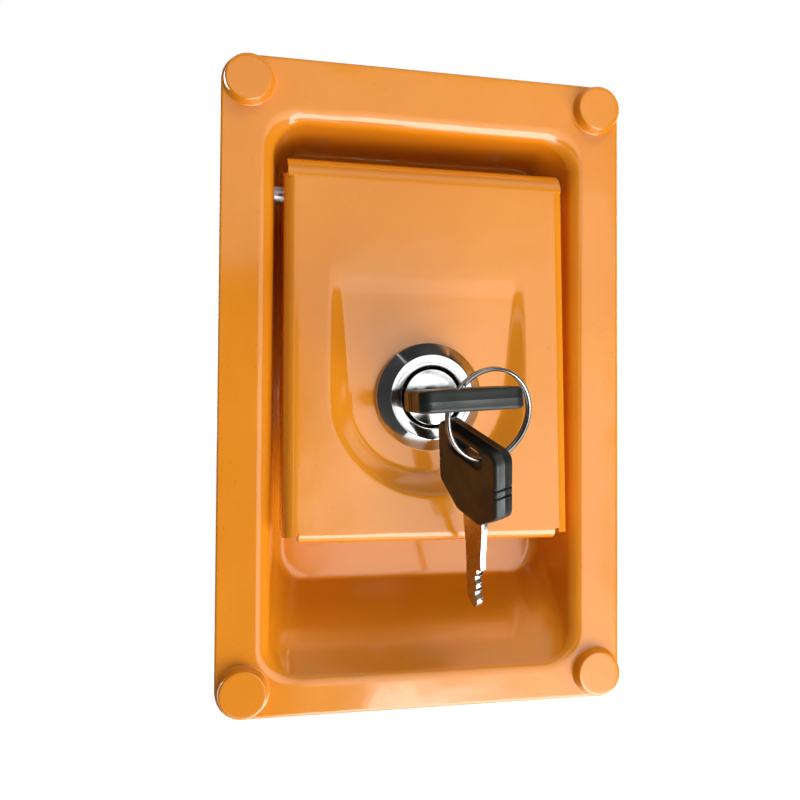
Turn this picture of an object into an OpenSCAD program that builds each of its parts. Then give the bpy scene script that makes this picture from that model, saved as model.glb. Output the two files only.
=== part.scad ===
// Flush paddle latch with a keyed cam lock, for a side door. +Z is up and the front faces -Y.
// The origin is the middle of the four mounting bolts, on the back face of the flange.

/* [Flange] */
// Width of the flange
flange_w = 110; // [106:1:116]
// Height of the flange
flange_h = 170; // [166:1:178]
// Corner radius of the flange
flange_corner_r = 7.5; // [3:0.5:9]
// Thickness of the pressed sheet of the pan
sheet_t = 1.5; // [1.2:0.1:1.8]

/* [Recess] */
// Width of the flange beside the recess
side_border = 10; // [9:0.5:11]
// Width of the flange above the recess
top_border = 12.5; // [10:0.5:13]
// Width of the flange below the recess
bottom_border = 7.5; // [7:0.5:11]
// Corner radius of the recess mouth
mouth_corner_r = 10; // [9:0.5:14]
// Corner radius of the recess floor
floor_corner_r = 7.5; // [6:0.5:9]
// Depth of the recess, from the front of the flange to its floor
recess_depth = 21; // [20.5:0.1:22]
// Radius rolled over the rim of the recess
rim_r = 4; // [3:0.25:5]
// Radius where the walls meet the floor
fillet_r = 3; // [2:0.25:4]
// Draft of the side walls and the top wall, in degrees
wall_draft = 8; // [6:0.5:9]
// Slope of the finger ramp at the bottom, in degrees
ramp_slope = 47; // [44:1:49]

/* [Mounting bolts] */
// Distance of each bolt from the two nearest edges of the flange
bolt_inset = 7; // [6.5:0.25:7.5]
// Diameter of the bolt shank
bolt_d = 6; // [5:0.5:8]
// Length of the shank behind the flange
bolt_l = 14; // [10:1:25]
// Diameter of the flat bolt head
bolt_head_d = 13; // [10:0.5:13]
// Height of the flat bolt head
bolt_head_h = 3; // [2:0.25:4]

/* [Paddle] */
// Gap between the paddle and the mouth of the recess, at each side
side_gap = 6.5; // [6:0.25:7.5]
// Gap between the paddle and the mouth of the recess at the top
top_gap = 12.7; // [11.5:0.2:13.5]
// Height of the paddle
paddle_h = 100.8; // [97.8:0.5:103.8]
// Thickness of the paddle sheet
paddle_t = 1.5; // [1.2:0.1:1.8]
// How far the paddle face stands proud of the flange at the hinge
paddle_proud = 0.5; // [0:0.1:1]
// Lean of the closed paddle, which stands further out at its bottom, in degrees
paddle_lean = 2.4; // [1.5:0.1:3]
// Outer bend radius along the sides
side_bend_r = 3; // [2:0.25:4]
// Outer bend radius along the top
top_bend_r = 6; // [4:0.5:7]
// Outer bend radius along the bottom
bottom_bend_r = 2.6; // [2:0.2:4]
// Depth of the folded flaps behind the paddle face
flap_depth = 7.5; // [7:0.25:9]

/* [Dish around the lock] */
// Radius of the dish outline
dish_r = 27; // [26:0.5:28]
// Distance below the hinge pin at which the floor of the dish would meet the paddle face
dish_drop = 17.5; // [15.5:0.5:19.5]
// Slope of the dish floor, in degrees
dish_slope = 5; // [4:0.25:6]

/* [Hinge] */
// Diameter of the hinge pin
pin_d = 5; // [4:0.5:6]
// Depth of the hinge pin behind the front of the flange
pin_depth = 10; // [9.5:0.25:10.5]
// Distance of the hinge pin below the top of the paddle
pin_drop = 8.3; // [7.8:0.1:8.8]
// Angle through which the paddle is lifted, in degrees
paddle_lift = 30; // [25:1:32]

/* [Lock] */
// Height of the lock axis above the bottom of the paddle
lock_rise = 37.9; // [37:0.1:39]
// Diameter of the bezel
bezel_d = 28.6; // [27:0.2:30]
// Height of the bezel
bezel_h = 5; // [4:0.25:6]
// Diameter of the lock barrel
barrel_d = 22; // [21:0.5:23]
// Length of the lock barrel behind the bezel
barrel_l = 22.6; // [22.2:0.1:24]
// Diameter of the turning plug
plug_d = 15.4; // [15:0.1:16]
// Material of the lock nut outside the barrel, at its flats
nut_wall = 2.5; // [2:0.25:3]
// Thickness of the lock nut
nut_t = 5; // [4:0.25:6]
// Length of the cam from the lock axis to its tip
cam_l = 19; // [17.5:0.5:20]
// Width of the cam
cam_w = 12; // [10:0.5:13]
// Thickness of the cam
cam_t = 2; // [1.5:0.1:2.5]

/* [Keys] */
// Width of the key bow
bow_w = 24.6; // [22:0.2:26]
// Thickness of the key bow
bow_t = 5; // [4.5:0.1:5.4]
// Length of the key bow
bow_l = 22.4; // [22:0.2:24]
// Length of the slot in the bow
bow_slot_l = 14; // [13:0.5:15]
// Width of the slot in the bow
bow_slot_w = 4.6; // [4.4:0.1:5]
// Width of the key blade in the lock
blade_w = 6.4; // [5.5:0.1:7]
// Thickness of the key blade
blade_t = 1.8; // [1.6:0.1:2.2]
// Length of the key blade beyond the bow
blade_l = 28.2; // [28:0.2:30]
// Radius of the key ring at the middle of its wire
ring_r = 10.8; // [10.6:0.1:11]
// Diameter of the key ring wire
ring_wire = 0.9; // [0.8:0.05:1.1]

/* [Slam bolt] */
// How far the bolt is drawn back by the paddle
bolt_travel = 13; // [11:0.5:14]
// How far the bolt nose stands out beyond the side of the flange
nose_out = 7; // [5:0.5:9]
// Height of the bolt nose
nose_h = 18; // [14:0.5:20]
// Depth of the bolt nose, front to back
nose_depth = 12; // [11:0.25:12.5]
// Thickness of the bolt's slotted plate
plate_t = 4; // [3:0.25:5]
// Thickness of the release arm
arm_t = 3; // [2:0.25:4]
// Height of the release arm
arm_h = 5.5; // [4.5:0.25:6.5]
// Thickness of the bolt guide sheet
guide_t = 1.5; // [1.2:0.1:2]

/* [Springs] */
// Wire diameter of the hinge spring
hinge_spring_wire = 1.2; // [1:0.1:1.4]
// Turns of the hinge spring
hinge_spring_turns = 5; // [3:1:7]
// Wire diameter of the bolt spring
bolt_spring_wire = 0.9; // [0.7:0.05:1.1]
// Outer diameter of the bolt spring
bolt_spring_d = 7; // [6.5:0.25:7.5]
// Turns of the bolt spring
bolt_spring_turns = 8; // [6:1:10]

/* [Hidden] */
$fn = 48;

// Clearances
run_gap = 0.05;
slide_gap = 0.3;
seat_gap = 0.02;

// Derived places
mouth_w = flange_w - 2 * side_border;
mouth_top = flange_h / 2 - top_border;
mouth_bottom = flange_h / 2 - bottom_border;
bolt_span_w = flange_w - 2 * bolt_inset;
bolt_span_h = flange_h - 2 * bolt_inset;
paddle_w = mouth_w - 2 * side_gap;
paddle_top = mouth_top - top_gap;
paddle_bottom = paddle_h - paddle_top;
pin_z = paddle_top - pin_drop;
dish_meet = pin_z - dish_drop;
nose_reach = flange_w / 2 + nose_out;
nut_flats = barrel_d + 2 * nut_wall;
front_y = -sheet_t;
floor_front = recess_depth - sheet_t;
floor_back = recess_depth;
pin_y = pin_depth - sheet_t;
face_y = front_y - paddle_proud;
pad_t = paddle_t * cos(dish_slope);
lock_z = lock_rise - paddle_bottom;
pad_y = face_y + (dish_meet - lock_z) * tan(dish_slope);

// Turns what is drawn on an upright paddle about the hinge pin into the closed paddle's lean
module on_paddle() {
    translate([0, pin_y, pin_z]) rotate([-paddle_lean, 0, 0]) translate([0, -pin_y, -pin_z]) children();
}

// Lock frame: z runs out of the lock along its axis, x to the right and y up
module on_lock() {
    on_paddle() translate([0, pad_y, lock_z]) rotate([90 + dish_slope, 0, 0]) children();
}

// Extrudes an outline drawn in depth (y) and height (z) to both sides of x = 0
module plate_yz(thickness, middle = 0) {
    translate([middle - thickness / 2, 0, 0]) rotate([90, 0, 90]) linear_extrude(thickness) children();
}

// A skin over rings with the same number of points each: either the last ring meets the first one
// again, or a fan closes each end
module loft(rings, endless = false) {
    n = len(rings[0]);
    m = len(rings);
    ends = endless ? [] : [for (r = [rings[0], rings[m - 1]]) [for (c = [0:2]) ring_mean(r, c)]];
    sides = [for (j = [0:endless ? m - 1 : m - 2]) for (i = [0:n - 1]) let (k = (j + 1) % m) each [
        [j * n + i, k * n + i, k * n + (i + 1) % n], [j * n + i, k * n + (i + 1) % n, j * n + (i + 1) % n]]];
    fans = endless ? [] : [for (i = [0:n - 1]) each [
        [m * n, i, (i + 1) % n], [m * n + 1, (m - 1) * n + (i + 1) % n, (m - 1) * n + i]]];
    polyhedron(points = concat([for (r = rings) each r], ends), faces = concat(sides, fans), convexity = 6);
}
function ring_mean(ring, c) = [for (p = ring) p[c]] * [for (p = ring) 1] / len(ring);

// Profile of a recess wall: how far in and how deep it is at a step, with the slope there.
// It rolls over the rim, runs down the draft and turns through the fillet onto the floor.
rim_steps = 6;
wall_steps = 3;
fillet_steps = 4;
wall_last = rim_steps + wall_steps + fillet_steps;
function floor_inset(draft) = (rim_r + fillet_r) * cos(draft)
    + tan(draft) * (recess_depth - (rim_r + fillet_r) * (1 - sin(draft)));
function rim_end(draft) = [rim_r * cos(draft), rim_r * (1 - sin(draft))];
function fillet_start(draft) = [floor_inset(draft) - fillet_r * cos(draft),
    recess_depth - fillet_r * (1 - sin(draft))];
function rim_point(draft, turn) = [rim_r * sin(turn), rim_r * (1 - cos(turn)), turn];
function fillet_point(draft, turn) = [floor_inset(draft) - fillet_r * sin(turn),
    recess_depth - fillet_r * (1 - cos(turn)), turn];
function wall_point(draft, f) = concat(rim_end(draft) * (1 - f) + fillet_start(draft) * f, [90 - draft]);
function profile(draft, i) =
    i <= rim_steps ? rim_point(draft, (90 - draft) * i / rim_steps)
    : i < rim_steps + wall_steps ? wall_point(draft, (i - rim_steps) / wall_steps)
    : fillet_point(draft, (90 - draft) * (wall_last - i) / fillet_steps);
// The same profile moved behind the sheet along its own normal
function behind(p, t) = [p[0] - t * sin(p[2]), p[1] + t * cos(p[2])];

// A rounded rectangle in the plane of the flange, whose lower corners may lie at another depth
corner_steps = 8;
function corner(cx, cz, r, y0, y1, a0) = [for (k = [0:corner_steps]) let (a = a0 + 90 * k / corner_steps)
    [cx + r * cos(a), y0 * pow(cos(a), 2) + y1 * pow(sin(a), 2), cz + r * sin(a)]];
function outline(half_w, top, bottom, r, y_side, y_bottom) = concat(
    corner(half_w - r, top - r, r, y_side, y_side, 0),
    corner(-half_w + r, top - r, r, y_side, y_side, 90),
    corner(-half_w + r, r - bottom, r, y_side, y_bottom, 180),
    corner(half_w - r, r - bottom, r, y_side, y_bottom, 270));
function recess_ring(i, t) = let (s = behind(profile(wall_draft, i), t), b = behind(profile(ramp_slope, i), t),
    f = i / wall_last, r = mouth_corner_r * (1 - f) + floor_corner_r * f)
    outline(mouth_w / 2 - s[0], mouth_top - s[0], mouth_bottom - b[0],
        r + t * sin(profile(wall_draft, i)[2]), front_y + s[1], front_y + b[1]);
// The window for the lock's barrel and cam is left out of the floor by the innermost rings
window_r = 3;
function window_ring(y) = outline(window_half_w, window_top, -window_bottom, window_r, y, y);
edge_r = 0.6;
function flange_ring(inset, y) = outline(flange_w / 2 - inset, flange_h / 2 - inset, flange_h / 2 - inset,
    flange_corner_r - inset, y, y);

// Depth of the pin behind the front of the flange gives how far out the pan wall is there
pin_wall = mouth_w / 2 - rim_end(wall_draft)[0] - (pin_depth - rim_end(wall_draft)[1]) * tan(wall_draft);
pin_wall_outer = pin_wall + sheet_t / cos(wall_draft);
pin_hole_r = pin_d / 2 + run_gap;

// Openings in the floor of the recess
window_half_w = barrel_d / 2 + 3.5;
window_top = lock_z + cam_l + 4;
window_bottom = lock_z - barrel_d / 2 - 2.5;
arm_drop = 8;
function arm_angle(lift) = arm_drop + lift;
function arm_low(y, lift) = pin_z - (y - pin_y) * tan(arm_angle(lift)) - arm_h / 2 / cos(arm_angle(lift));
function arm_high(y, lift) = pin_z - (y - pin_y) * tan(arm_angle(lift)) + arm_h / 2 / cos(arm_angle(lift));
arm_slot_half_w = arm_t / 2 + 1;
arm_slot_top = arm_high(floor_front, 0) + 1 - arm_slot_half_w / 2;
arm_slot_bottom = arm_low(floor_back, paddle_lift) - 1 + arm_slot_half_w / 2;

neck_hole = bolt_d + 2 * run_gap;
shank_chamfer = 0.8;
module bolt_places() {
    for (x = [-1, 1], z = [-1, 1]) translate([x * bolt_span_w / 2, 0, z * bolt_span_h / 2]) rotate([90, 0, 0])
        children();
}

module pan() color("darkorange") difference() {
    loft(concat(
        [window_ring(floor_back)],
        [for (i = [wall_last:-1:0]) recess_ring(i, sheet_t)],
        [flange_ring(0, 0), flange_ring(0, front_y + edge_r),
            flange_ring(edge_r * 0.3, front_y + edge_r * 0.3), flange_ring(edge_r, front_y)],
        [for (i = [0:wall_last]) recess_ring(i, 0)],
        [window_ring(floor_front)]), endless = true);
    bolt_places() translate([-neck_hole / 2, -neck_hole / 2, -1]) cube([neck_hole, neck_hole, sheet_t + 2]);
    translate([-flange_w / 2, pin_y, pin_z]) rotate([0, 90, 0]) cylinder(r = pin_hole_r, h = flange_w);
    hull() for (z = [arm_slot_bottom, arm_slot_top]) translate([0, floor_front - 1, z]) rotate([-90, 0, 0])
        cylinder(r = arm_slot_half_w, h = sheet_t + 2);
    rivet_places() translate([0, 0, -sheet_t - 1]) cylinder(r = rivet_d / 2 + run_gap, h = sheet_t + 2);
}
// Each bolt has a flat head, a square neck that stops it turning in the flange, and a round shank
head_taper = 0.6;
module mounting_bolts() color("darkorange") bolt_places() {
    translate([0, 0, sheet_t]) cylinder(r1 = bolt_head_d / 2, r2 = bolt_head_d / 2 - head_taper / 2,
        h = bolt_head_h - head_taper);
    translate([0, 0, sheet_t + bolt_head_h - head_taper]) cylinder(r1 = bolt_head_d / 2 - head_taper / 2,
        r2 = bolt_head_d / 2 - head_taper * 1.5, h = head_taper);
    translate([-bolt_d / 2, -bolt_d / 2, 0]) cube([bolt_d, bolt_d, sheet_t]);
    translate([0, 0, shank_chamfer - bolt_l]) cylinder(r = bolt_d / 2, h = bolt_l - shank_chamfer);
    translate([0, 0, -bolt_l]) cylinder(r1 = bolt_d / 2 - shank_chamfer, r2 = bolt_d / 2, h = shank_chamfer);
}

// Hinge pin through both pan walls, with a head at the right and a clip groove at the left
pin_head_r = pin_d / 2 + 1.5;
pin_head_t = 1.5;
clip_t = 0.8;
clip_r = pin_d / 2 + 2;
groove_r = pin_d / 2 - 0.5;
pin_head_x = pin_wall_outer + pin_head_r * tan(wall_draft) + seat_gap;
clip_x = pin_wall_outer + clip_r * tan(wall_draft) + seat_gap;
pin_end_x = clip_x + clip_t + 1.6;
module along_x(x0) {
    translate([x0, pin_y, pin_z]) rotate([0, 90, 0]) children();
}
module hinge_pin() color("silver") {
    difference() {
        along_x(-pin_end_x) cylinder(r = pin_d / 2, h = pin_end_x + pin_head_x);
        along_x(-clip_x - clip_t) difference() {
            cylinder(r = pin_d, h = clip_t);
            cylinder(r = groove_r, h = clip_t);
        }
    }
    along_x(pin_head_x) cylinder(r = pin_head_r, h = pin_head_t);
}
module hinge_pin_clip() color("dimgray") along_x(-clip_x - clip_t + seat_gap) difference() {
    cylinder(r = clip_r, h = clip_t - 2 * seat_gap);
    translate([0, 0, -1]) cylinder(r = groove_r + seat_gap, h = clip_t + 2);
    translate([0, -groove_r * 0.8, -1]) cube([clip_r + 1, groove_r * 1.6, clip_t + 2]);
    for (a = [130, 230]) rotate(a) translate([groove_r + 0.3, 0, -1]) cylinder(r = 0.8, h = clip_t + 2, $fn = 24);
}

// A round wire swept along points, each ring square to the path
wire_sides = 6;
function unit(v) = v / norm(v);
function tangent(path, i) = unit(path[min(i + 1, len(path) - 1)] - path[max(i - 1, 0)]);
function wire_ring(p, t, side, r) = let (a = unit(side - (side * t) * t), b = cross(t, a))
    [for (k = [0:wire_sides - 1]) p + r * (cos(360 * k / wire_sides) * a + sin(360 * k / wire_sides) * b)];
module wire(path, sides, r) {
    loft([for (i = [0:len(path) - 1]) wire_ring(path[i], tangent(path, i), sides[i], r)]);
}

// Torsion spring round the hinge pin: one leg lies on the floor of the recess, the other on the paddle
spring_x = 6;
spring_coil_r = pin_d / 2 + 0.5 + hinge_spring_wire / 2;
spring_pitch = hinge_spring_wire * 1.15;
coil_steps = 14;
leg_l = 13;
spring_turn = hinge_spring_turns * 360 + 180;
function spring_point(a) = [spring_x + spring_pitch * a / 360, pin_y + spring_coil_r * cos(a), pin_z + spring_coil_r * sin(a)];
function spring_side(a) = [0, cos(a), sin(a)];
floor_leg_y = floor_front - hinge_spring_wire / 2 - seat_gap;
paddle_leg_y = face_y + paddle_t + hinge_spring_wire / 2 + 0.3;
module hinge_spring() color("silver") {
    angles = [for (i = [0:coil_steps * (hinge_spring_turns + 0.5)]) i * 360 / coil_steps];
    first = spring_point(0);
    last_a = angles[len(angles) - 1];
    last = spring_point(last_a);
    floor_leg = [[first[0] - 0.3, floor_leg_y, pin_z - leg_l], [first[0] - 0.3, floor_leg_y, pin_z - leg_l / 2]];
    paddle_leg = [[last[0] + 0.3, paddle_leg_y, pin_z - leg_l * 0.7], [last[0] + 0.3, paddle_leg_y - 0.3, pin_z - leg_l]];
    wire(concat(floor_leg, [for (a = angles) spring_point(a)], paddle_leg),
        concat([for (i = [0:1]) [1, 0, 0]], [for (a = angles) [1, 0, 0]], [for (i = [0:1]) [1, 0, 0]]),
        hinge_spring_wire / 2);
}

// Slam bolt: a slotted plate on the back of the floor, a lug for the spring and a bevelled nose
bolt_y0 = floor_back + 0.4;
plate_y1 = bolt_y0 + plate_t;
nose_y1 = bolt_y0 + nose_depth;
slot_top = arm_high(bolt_y0, 0) + slide_gap;
slot_bottom = arm_low(plate_y1, paddle_lift) - slide_gap;
plate_margin = 4;
plate_top = slot_top + plate_margin;
plate_bottom = slot_bottom - plate_margin;
bolt_mid_z = (plate_top + plate_bottom) / 2;
lug_x = -arm_t / 2 - 3.5;
lug_t = 2;
nose_root_x = bolt_travel + 6;
bevel_l = 13;
bevel_tip = 2.6;
plate_corner = 2;
nose_corner = 1;
lug_h = 10;
lug_peg_l = 2;
tab_peg_l = 3;
peg_r = bolt_spring_d / 2 - bolt_spring_wire - 0.2;
travel_steps = 10;
function bolt_at(lift) = bolt_travel * lift / paddle_lift;
slot_half = arm_t / 2 + slide_gap;
slot_left = [for (k = [0:travel_steps]) let (lift = paddle_lift * k / travel_steps)
    [bolt_at(lift) - slot_half, arm_low(plate_y1, lift) - slide_gap]];
slot_right = [for (k = [travel_steps:-1:0]) let (lift = paddle_lift * k / travel_steps)
    [bolt_at(lift) + slot_half, arm_high(bolt_y0, lift) + slide_gap]];
cam_slot = concat([[-slot_half, slot_top]], slot_left,
    [[bolt_at(paddle_lift) + slot_half, slot_bottom]], slot_right);

module slab_y(y0, y1) {
    translate([0, y1, 0]) rotate([90, 0, 0]) linear_extrude(y1 - y0) children();
}
module slam_bolt() color("silver") {
    slab_y(bolt_y0, plate_y1) difference() {
        polygon([[lug_x, plate_bottom + plate_corner], [lug_x + plate_corner, plate_bottom],
            [nose_root_x - plate_corner, plate_bottom], [nose_root_x + plate_corner, bolt_mid_z - nose_h / 2],
            [nose_root_x + plate_corner, bolt_mid_z + nose_h / 2], [nose_root_x - plate_corner, plate_top],
            [lug_x + plate_corner, plate_top], [lug_x, plate_top - plate_corner]]);
        polygon(cam_slot);
    }
    slab_y(plate_y1, nose_y1 - 0.6) translate([lug_x, bolt_mid_z - lug_h / 2]) square([lug_t, lug_h]);
    translate([lug_x, spring_mid_y, bolt_mid_z]) rotate([0, -90, 0]) cylinder(r = peg_r, h = lug_peg_l);
    translate([0, 0, bolt_mid_z - nose_h / 2]) linear_extrude(nose_h)
        polygon([[nose_root_x, bolt_y0], [nose_reach - nose_corner, bolt_y0], [nose_reach, bolt_y0 + nose_corner],
            [nose_reach, bolt_y0 + bevel_tip], [nose_reach - bevel_l, nose_y1], [nose_root_x, nose_y1]]);
}

// Guide: a hat-shaped channel riveted to the back of the floor, closed at the spring end by a tab
guide_setback = [11, 10];
guide_x0 = guide_setback[0] - mouth_w / 2;
guide_x1 = mouth_w / 2 - guide_setback[1];
guide_gap = 0.3;
guide_top = plate_top + guide_gap;
guide_bottom = plate_bottom - guide_gap;
guide_web_y = nose_y1 + guide_gap;
lip_w = 4.9;
rivet_d = 3;
rivet_x = [guide_x0 + 8, guide_x1 - 9];
rivet_head_r = rivet_d / 2 + 0.8;
rivet_top_z = guide_top + guide_t + rivet_head_r + 0.15;
rivet_bottom_z = guide_bottom - guide_t - rivet_head_r - 0.15;
module rivet_places() {
    for (x = rivet_x, z = [rivet_top_z, rivet_bottom_z]) translate([x, floor_back, z]) rotate([-90, 0, 0]) children();
}
spring_mid_y = (plate_y1 + nose_y1) / 2 - 0.2;
tab_x = guide_x0 + guide_t;
module bolt_guide() color("lightgray") {
    difference() {
        translate([guide_x0, 0, 0]) rotate([90, 0, 90]) linear_extrude(guide_x1 - guide_x0) difference() {
            union() {
                translate([floor_back, guide_bottom - guide_t - lip_w]) square([guide_t, lip_w + 2 * guide_t]);
                translate([floor_back, guide_top - guide_t]) square([guide_t, lip_w + 2 * guide_t]);
                translate([floor_back, guide_bottom - guide_t])
                    square([guide_web_y + guide_t - floor_back, guide_top - guide_bottom + 2 * guide_t]);
            }
            translate([floor_back - 1, guide_bottom])
                square([guide_web_y - floor_back + 1, guide_top - guide_bottom]);
        }
        rivet_places() translate([0, 0, -1]) cylinder(r = rivet_d / 2 + run_gap, h = guide_t + 2);
    }
    translate([guide_x0, plate_y1 + guide_gap, guide_bottom - 0.1])
        cube([guide_t, guide_web_y - plate_y1 - guide_gap + 0.1, guide_top - guide_bottom + 0.2]);
    translate([tab_x, spring_mid_y, bolt_mid_z]) rotate([0, 90, 0]) cylinder(r = peg_r, h = tab_peg_l);
}
rivet_head_h = 1;
module guide_rivets() color("silver") rivet_places() {
    translate([0, 0, guide_t]) cylinder(r1 = rivet_head_r, r2 = rivet_head_r - 0.6, h = rivet_head_h);
    translate([0, 0, -sheet_t]) cylinder(r = rivet_d / 2, h = sheet_t + guide_t);
    translate([0, 0, -sheet_t - 0.6]) cylinder(r1 = rivet_d / 2 + 0.4, r2 = rivet_d / 2 + 0.8, h = 0.6);
}

// Compression spring from the guide's tab to the lug of the slam bolt, with closed ends
bolt_spring_x0 = tab_x + seat_gap + bolt_spring_wire / 2;
bolt_spring_x1 = lug_x - seat_gap - bolt_spring_wire / 2;
bolt_spring_r = (bolt_spring_d - bolt_spring_wire) / 2;
bolt_coil_steps = 12;
function bolt_spring_x(turn) = turn < 1 ? bolt_spring_x0 + bolt_spring_wire * turn
    : turn > bolt_spring_turns - 1 ? bolt_spring_x1 - bolt_spring_wire * (bolt_spring_turns - turn)
    : bolt_spring_x0 + bolt_spring_wire + (bolt_spring_x1 - bolt_spring_x0 - 2 * bolt_spring_wire)
        * (turn - 1) / (bolt_spring_turns - 2);
module bolt_spring() color("silver") {
    turns = [for (i = [0:bolt_coil_steps * bolt_spring_turns]) i / bolt_coil_steps];
    wire([for (n = turns) [bolt_spring_x(n), spring_mid_y + bolt_spring_r * cos(360 * n),
        bolt_mid_z + bolt_spring_r * sin(360 * n)]],
        [for (n = turns) [1, 0, 0]], bolt_spring_wire / 2);
}

// Paddle: a face with a dish pressed into it, and four folded flaps
dish_end = dish_meet - 3;
dish_fade = 9;
band_at_face = 2.7;
band_growth = 1.05;
function smooth(f) = let (c = min(1, max(0, f))) c * c * (3 - 2 * c);
function dish_plane(z) = max(0, (dish_meet - z) * tan(dish_slope));
function dish_edge(x, z) = dish_r - (z > lock_z ? abs(x) : norm([x, z - lock_z]));
function dish_depth(x, z) = dish_plane(z) * smooth((dish_end - z) / dish_fade)
    * smooth(dish_edge(x, z) / (band_at_face + band_growth * dish_plane(z)));
face_half_w = paddle_w / 2 - side_bend_r;
face_top = paddle_top - top_bend_r;
face_bottom = bottom_bend_r - paddle_bottom;
cells_x = 26;
cells_z = 28;
grid_x = concat([-face_half_w], [for (i = [0:cells_x]) dish_r * (2 * i / cells_x - 1)], [face_half_w]);
grid_z = concat([face_bottom], [for (j = [0:cells_z]) lock_z - dish_r + (dish_end - lock_z + dish_r) * j / cells_z],
    [face_top]);
module paddle_face() {
    nx = len(grid_x);
    nz = len(grid_z);
    count = nx * nz;
    front = [for (z = grid_z) for (x = grid_x) [x, face_y + dish_depth(x, z), z]];
    back = [for (p = front) p + [0, paddle_t, 0]];
    function at(i, j) = j * nx + i;
    cells = [for (j = [0:nz - 2]) for (i = [0:nx - 2]) [at(i, j), at(i + 1, j), at(i + 1, j + 1), at(i, j + 1)]];
    rim = concat([for (i = [0:nx - 2]) [at(i, 0), at(i + 1, 0)]],
        [for (j = [0:nz - 2]) [at(nx - 1, j), at(nx - 1, j + 1)]],
        [for (i = [nx - 2:-1:0]) [at(i + 1, nz - 1), at(i, nz - 1)]],
        [for (j = [nz - 2:-1:0]) [at(0, j + 1), at(0, j)]]);
    polyhedron(points = concat(front, back), faces = concat(
        [for (c = cells) each [[c[0], c[2], c[1]], [c[0], c[3], c[2]]]],
        [for (c = cells) each [[c[0] + count, c[1] + count, c[2] + count], [c[0] + count, c[2] + count, c[3] + count]]],
        [for (e = rim) each [[e[0], e[1], e[1] + count], [e[0], e[1] + count, e[0] + count]]]), convexity = 6);
}
// A bent edge seen end on: a quarter turn of radius r, then a flap going back to the given depth
module bend(r, depth) {
    difference() {
        translate([-r, 0]) intersection() {
            translate([0, r]) circle(r);
            square([r, r]);
        }
        translate([-r, r]) circle(r - paddle_t);
    }
    translate([-paddle_t, r]) square([paddle_t, depth - r]);
}
ear_r = 6;
ear_back = pin_y + ear_r - 1;
ear_straight = 8;
ear_foot_z = pin_z - ear_straight - 41.5;
side_top = face_top + 0.8;
side_bottom = face_bottom - bottom_bend_r * 0.4;
notch_top = 0.9;
notch_bottom = 4;
module side_flap() {
    translate([paddle_w / 2, face_y, side_bottom]) linear_extrude(side_top - side_bottom) bend(side_bend_r, flap_depth);
    plate_yz(paddle_t, paddle_w / 2 - paddle_t / 2) {
        polygon([[face_y + side_bend_r + 1, ear_foot_z], [face_y + flap_depth, ear_foot_z],
            [ear_back, pin_z - ear_straight], [ear_back, pin_z],
            [pin_y, side_top], [face_y + side_bend_r + 1, side_top]]);
        translate([pin_y, pin_z]) circle(ear_r);
    }
}
module edge_strip(z, half_w, r, depth, up) {
    translate([0, face_y, z]) rotate([0, up ? -90 : 90, 0]) translate([0, 0, -half_w]) linear_extrude(2 * half_w)
        bend(r, depth);
}
module paddle() color("orange") on_paddle() difference() {
    union() {
        paddle_face();
        side_flap();
        mirror([1, 0, 0]) side_flap();
        edge_strip(paddle_top, paddle_w / 2 - notch_top, top_bend_r, flap_depth + 2, true);
        edge_strip(-paddle_bottom, paddle_w / 2 - notch_bottom, bottom_bend_r, flap_depth - 1, false);
    }
    translate([-paddle_w, pin_y, pin_z]) rotate([0, 90, 0]) cylinder(r = pin_hole_r, h = 2 * paddle_w);
    translate([0, pad_y, lock_z]) rotate([90 + dish_slope, 0, 0]) translate([0, 0, -10])
        cylinder(r = barrel_d / 2 + 0.1, h = 20);
}

// Release arm: welded to the back of the paddle, round the hinge pin and out through the floor
arm_tip_y = nose_y1 - 2;
arm_reach = (arm_tip_y - pin_y) / cos(arm_drop);
arm_root_y = face_y + paddle_t - pin_y;
arm_root_low = dish_end + 4 - pin_z;
module arm_plate() {
    plate_yz(arm_t) translate([pin_y, pin_z]) children();
}
module release_arm() color("gray") difference() {
    union() {
        arm_plate() rotate(-paddle_lean) polygon([[arm_root_y, arm_root_low], [arm_root_y, 1],
            [-ear_r * 0.25, ear_r * 0.85], [-pin_d * 0.65, -ear_r * 0.35], [arm_root_y + 2, arm_root_low]]);
        arm_plate() circle(ear_r);
        arm_plate() rotate(-arm_drop) polygon([[pin_d * 0.7, -arm_h / 2], [arm_reach - 1.5, -arm_h / 2],
            [arm_reach, -arm_h / 2 + 1.5], [arm_reach, arm_h / 2 - 1.5], [arm_reach - 1.5, arm_h / 2],
            [pin_d * 0.7, arm_h / 2]]);
    }
    along_x(-arm_t) cylinder(r = pin_hole_r, h = 2 * arm_t);
}

// Lock: bezel and barrel with the bore for the plug
face_r = 11.2;
plug_bore_r = plug_d / 2 + run_gap;
module lock_body() color("gainsboro") on_lock() rotate_extrude() polygon([
    [plug_bore_r, -barrel_l], [barrel_d / 2 - 0.5, -barrel_l], [barrel_d / 2, -barrel_l + 0.5],
    [barrel_d / 2, 0], [bezel_d / 2 - 0.3, 0], [bezel_d / 2, 0.3], [bezel_d / 2, 1.1],
    [bezel_d / 2 - 0.35, 1.5], [face_r + 0.15, bezel_h - 0.15], [face_r, bezel_h],
    [plug_bore_r + 0.5, bezel_h], [plug_bore_r + 0.15, bezel_h - 0.25], [plug_bore_r, bezel_h - 0.6]]);
washer_t = 0.8;
module lock_washer() color("silver") on_lock() translate([0, 0, -pad_t - seat_gap - washer_t]) difference() {
    cylinder(r = nut_flats / 2, h = washer_t);
    translate([0, 0, -1]) cylinder(r = barrel_d / 2 + run_gap, h = washer_t + 2);
    rotate(115) translate([0, -0.6, -1]) cube([nut_flats, 1.2, washer_t + 2]);
}
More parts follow.
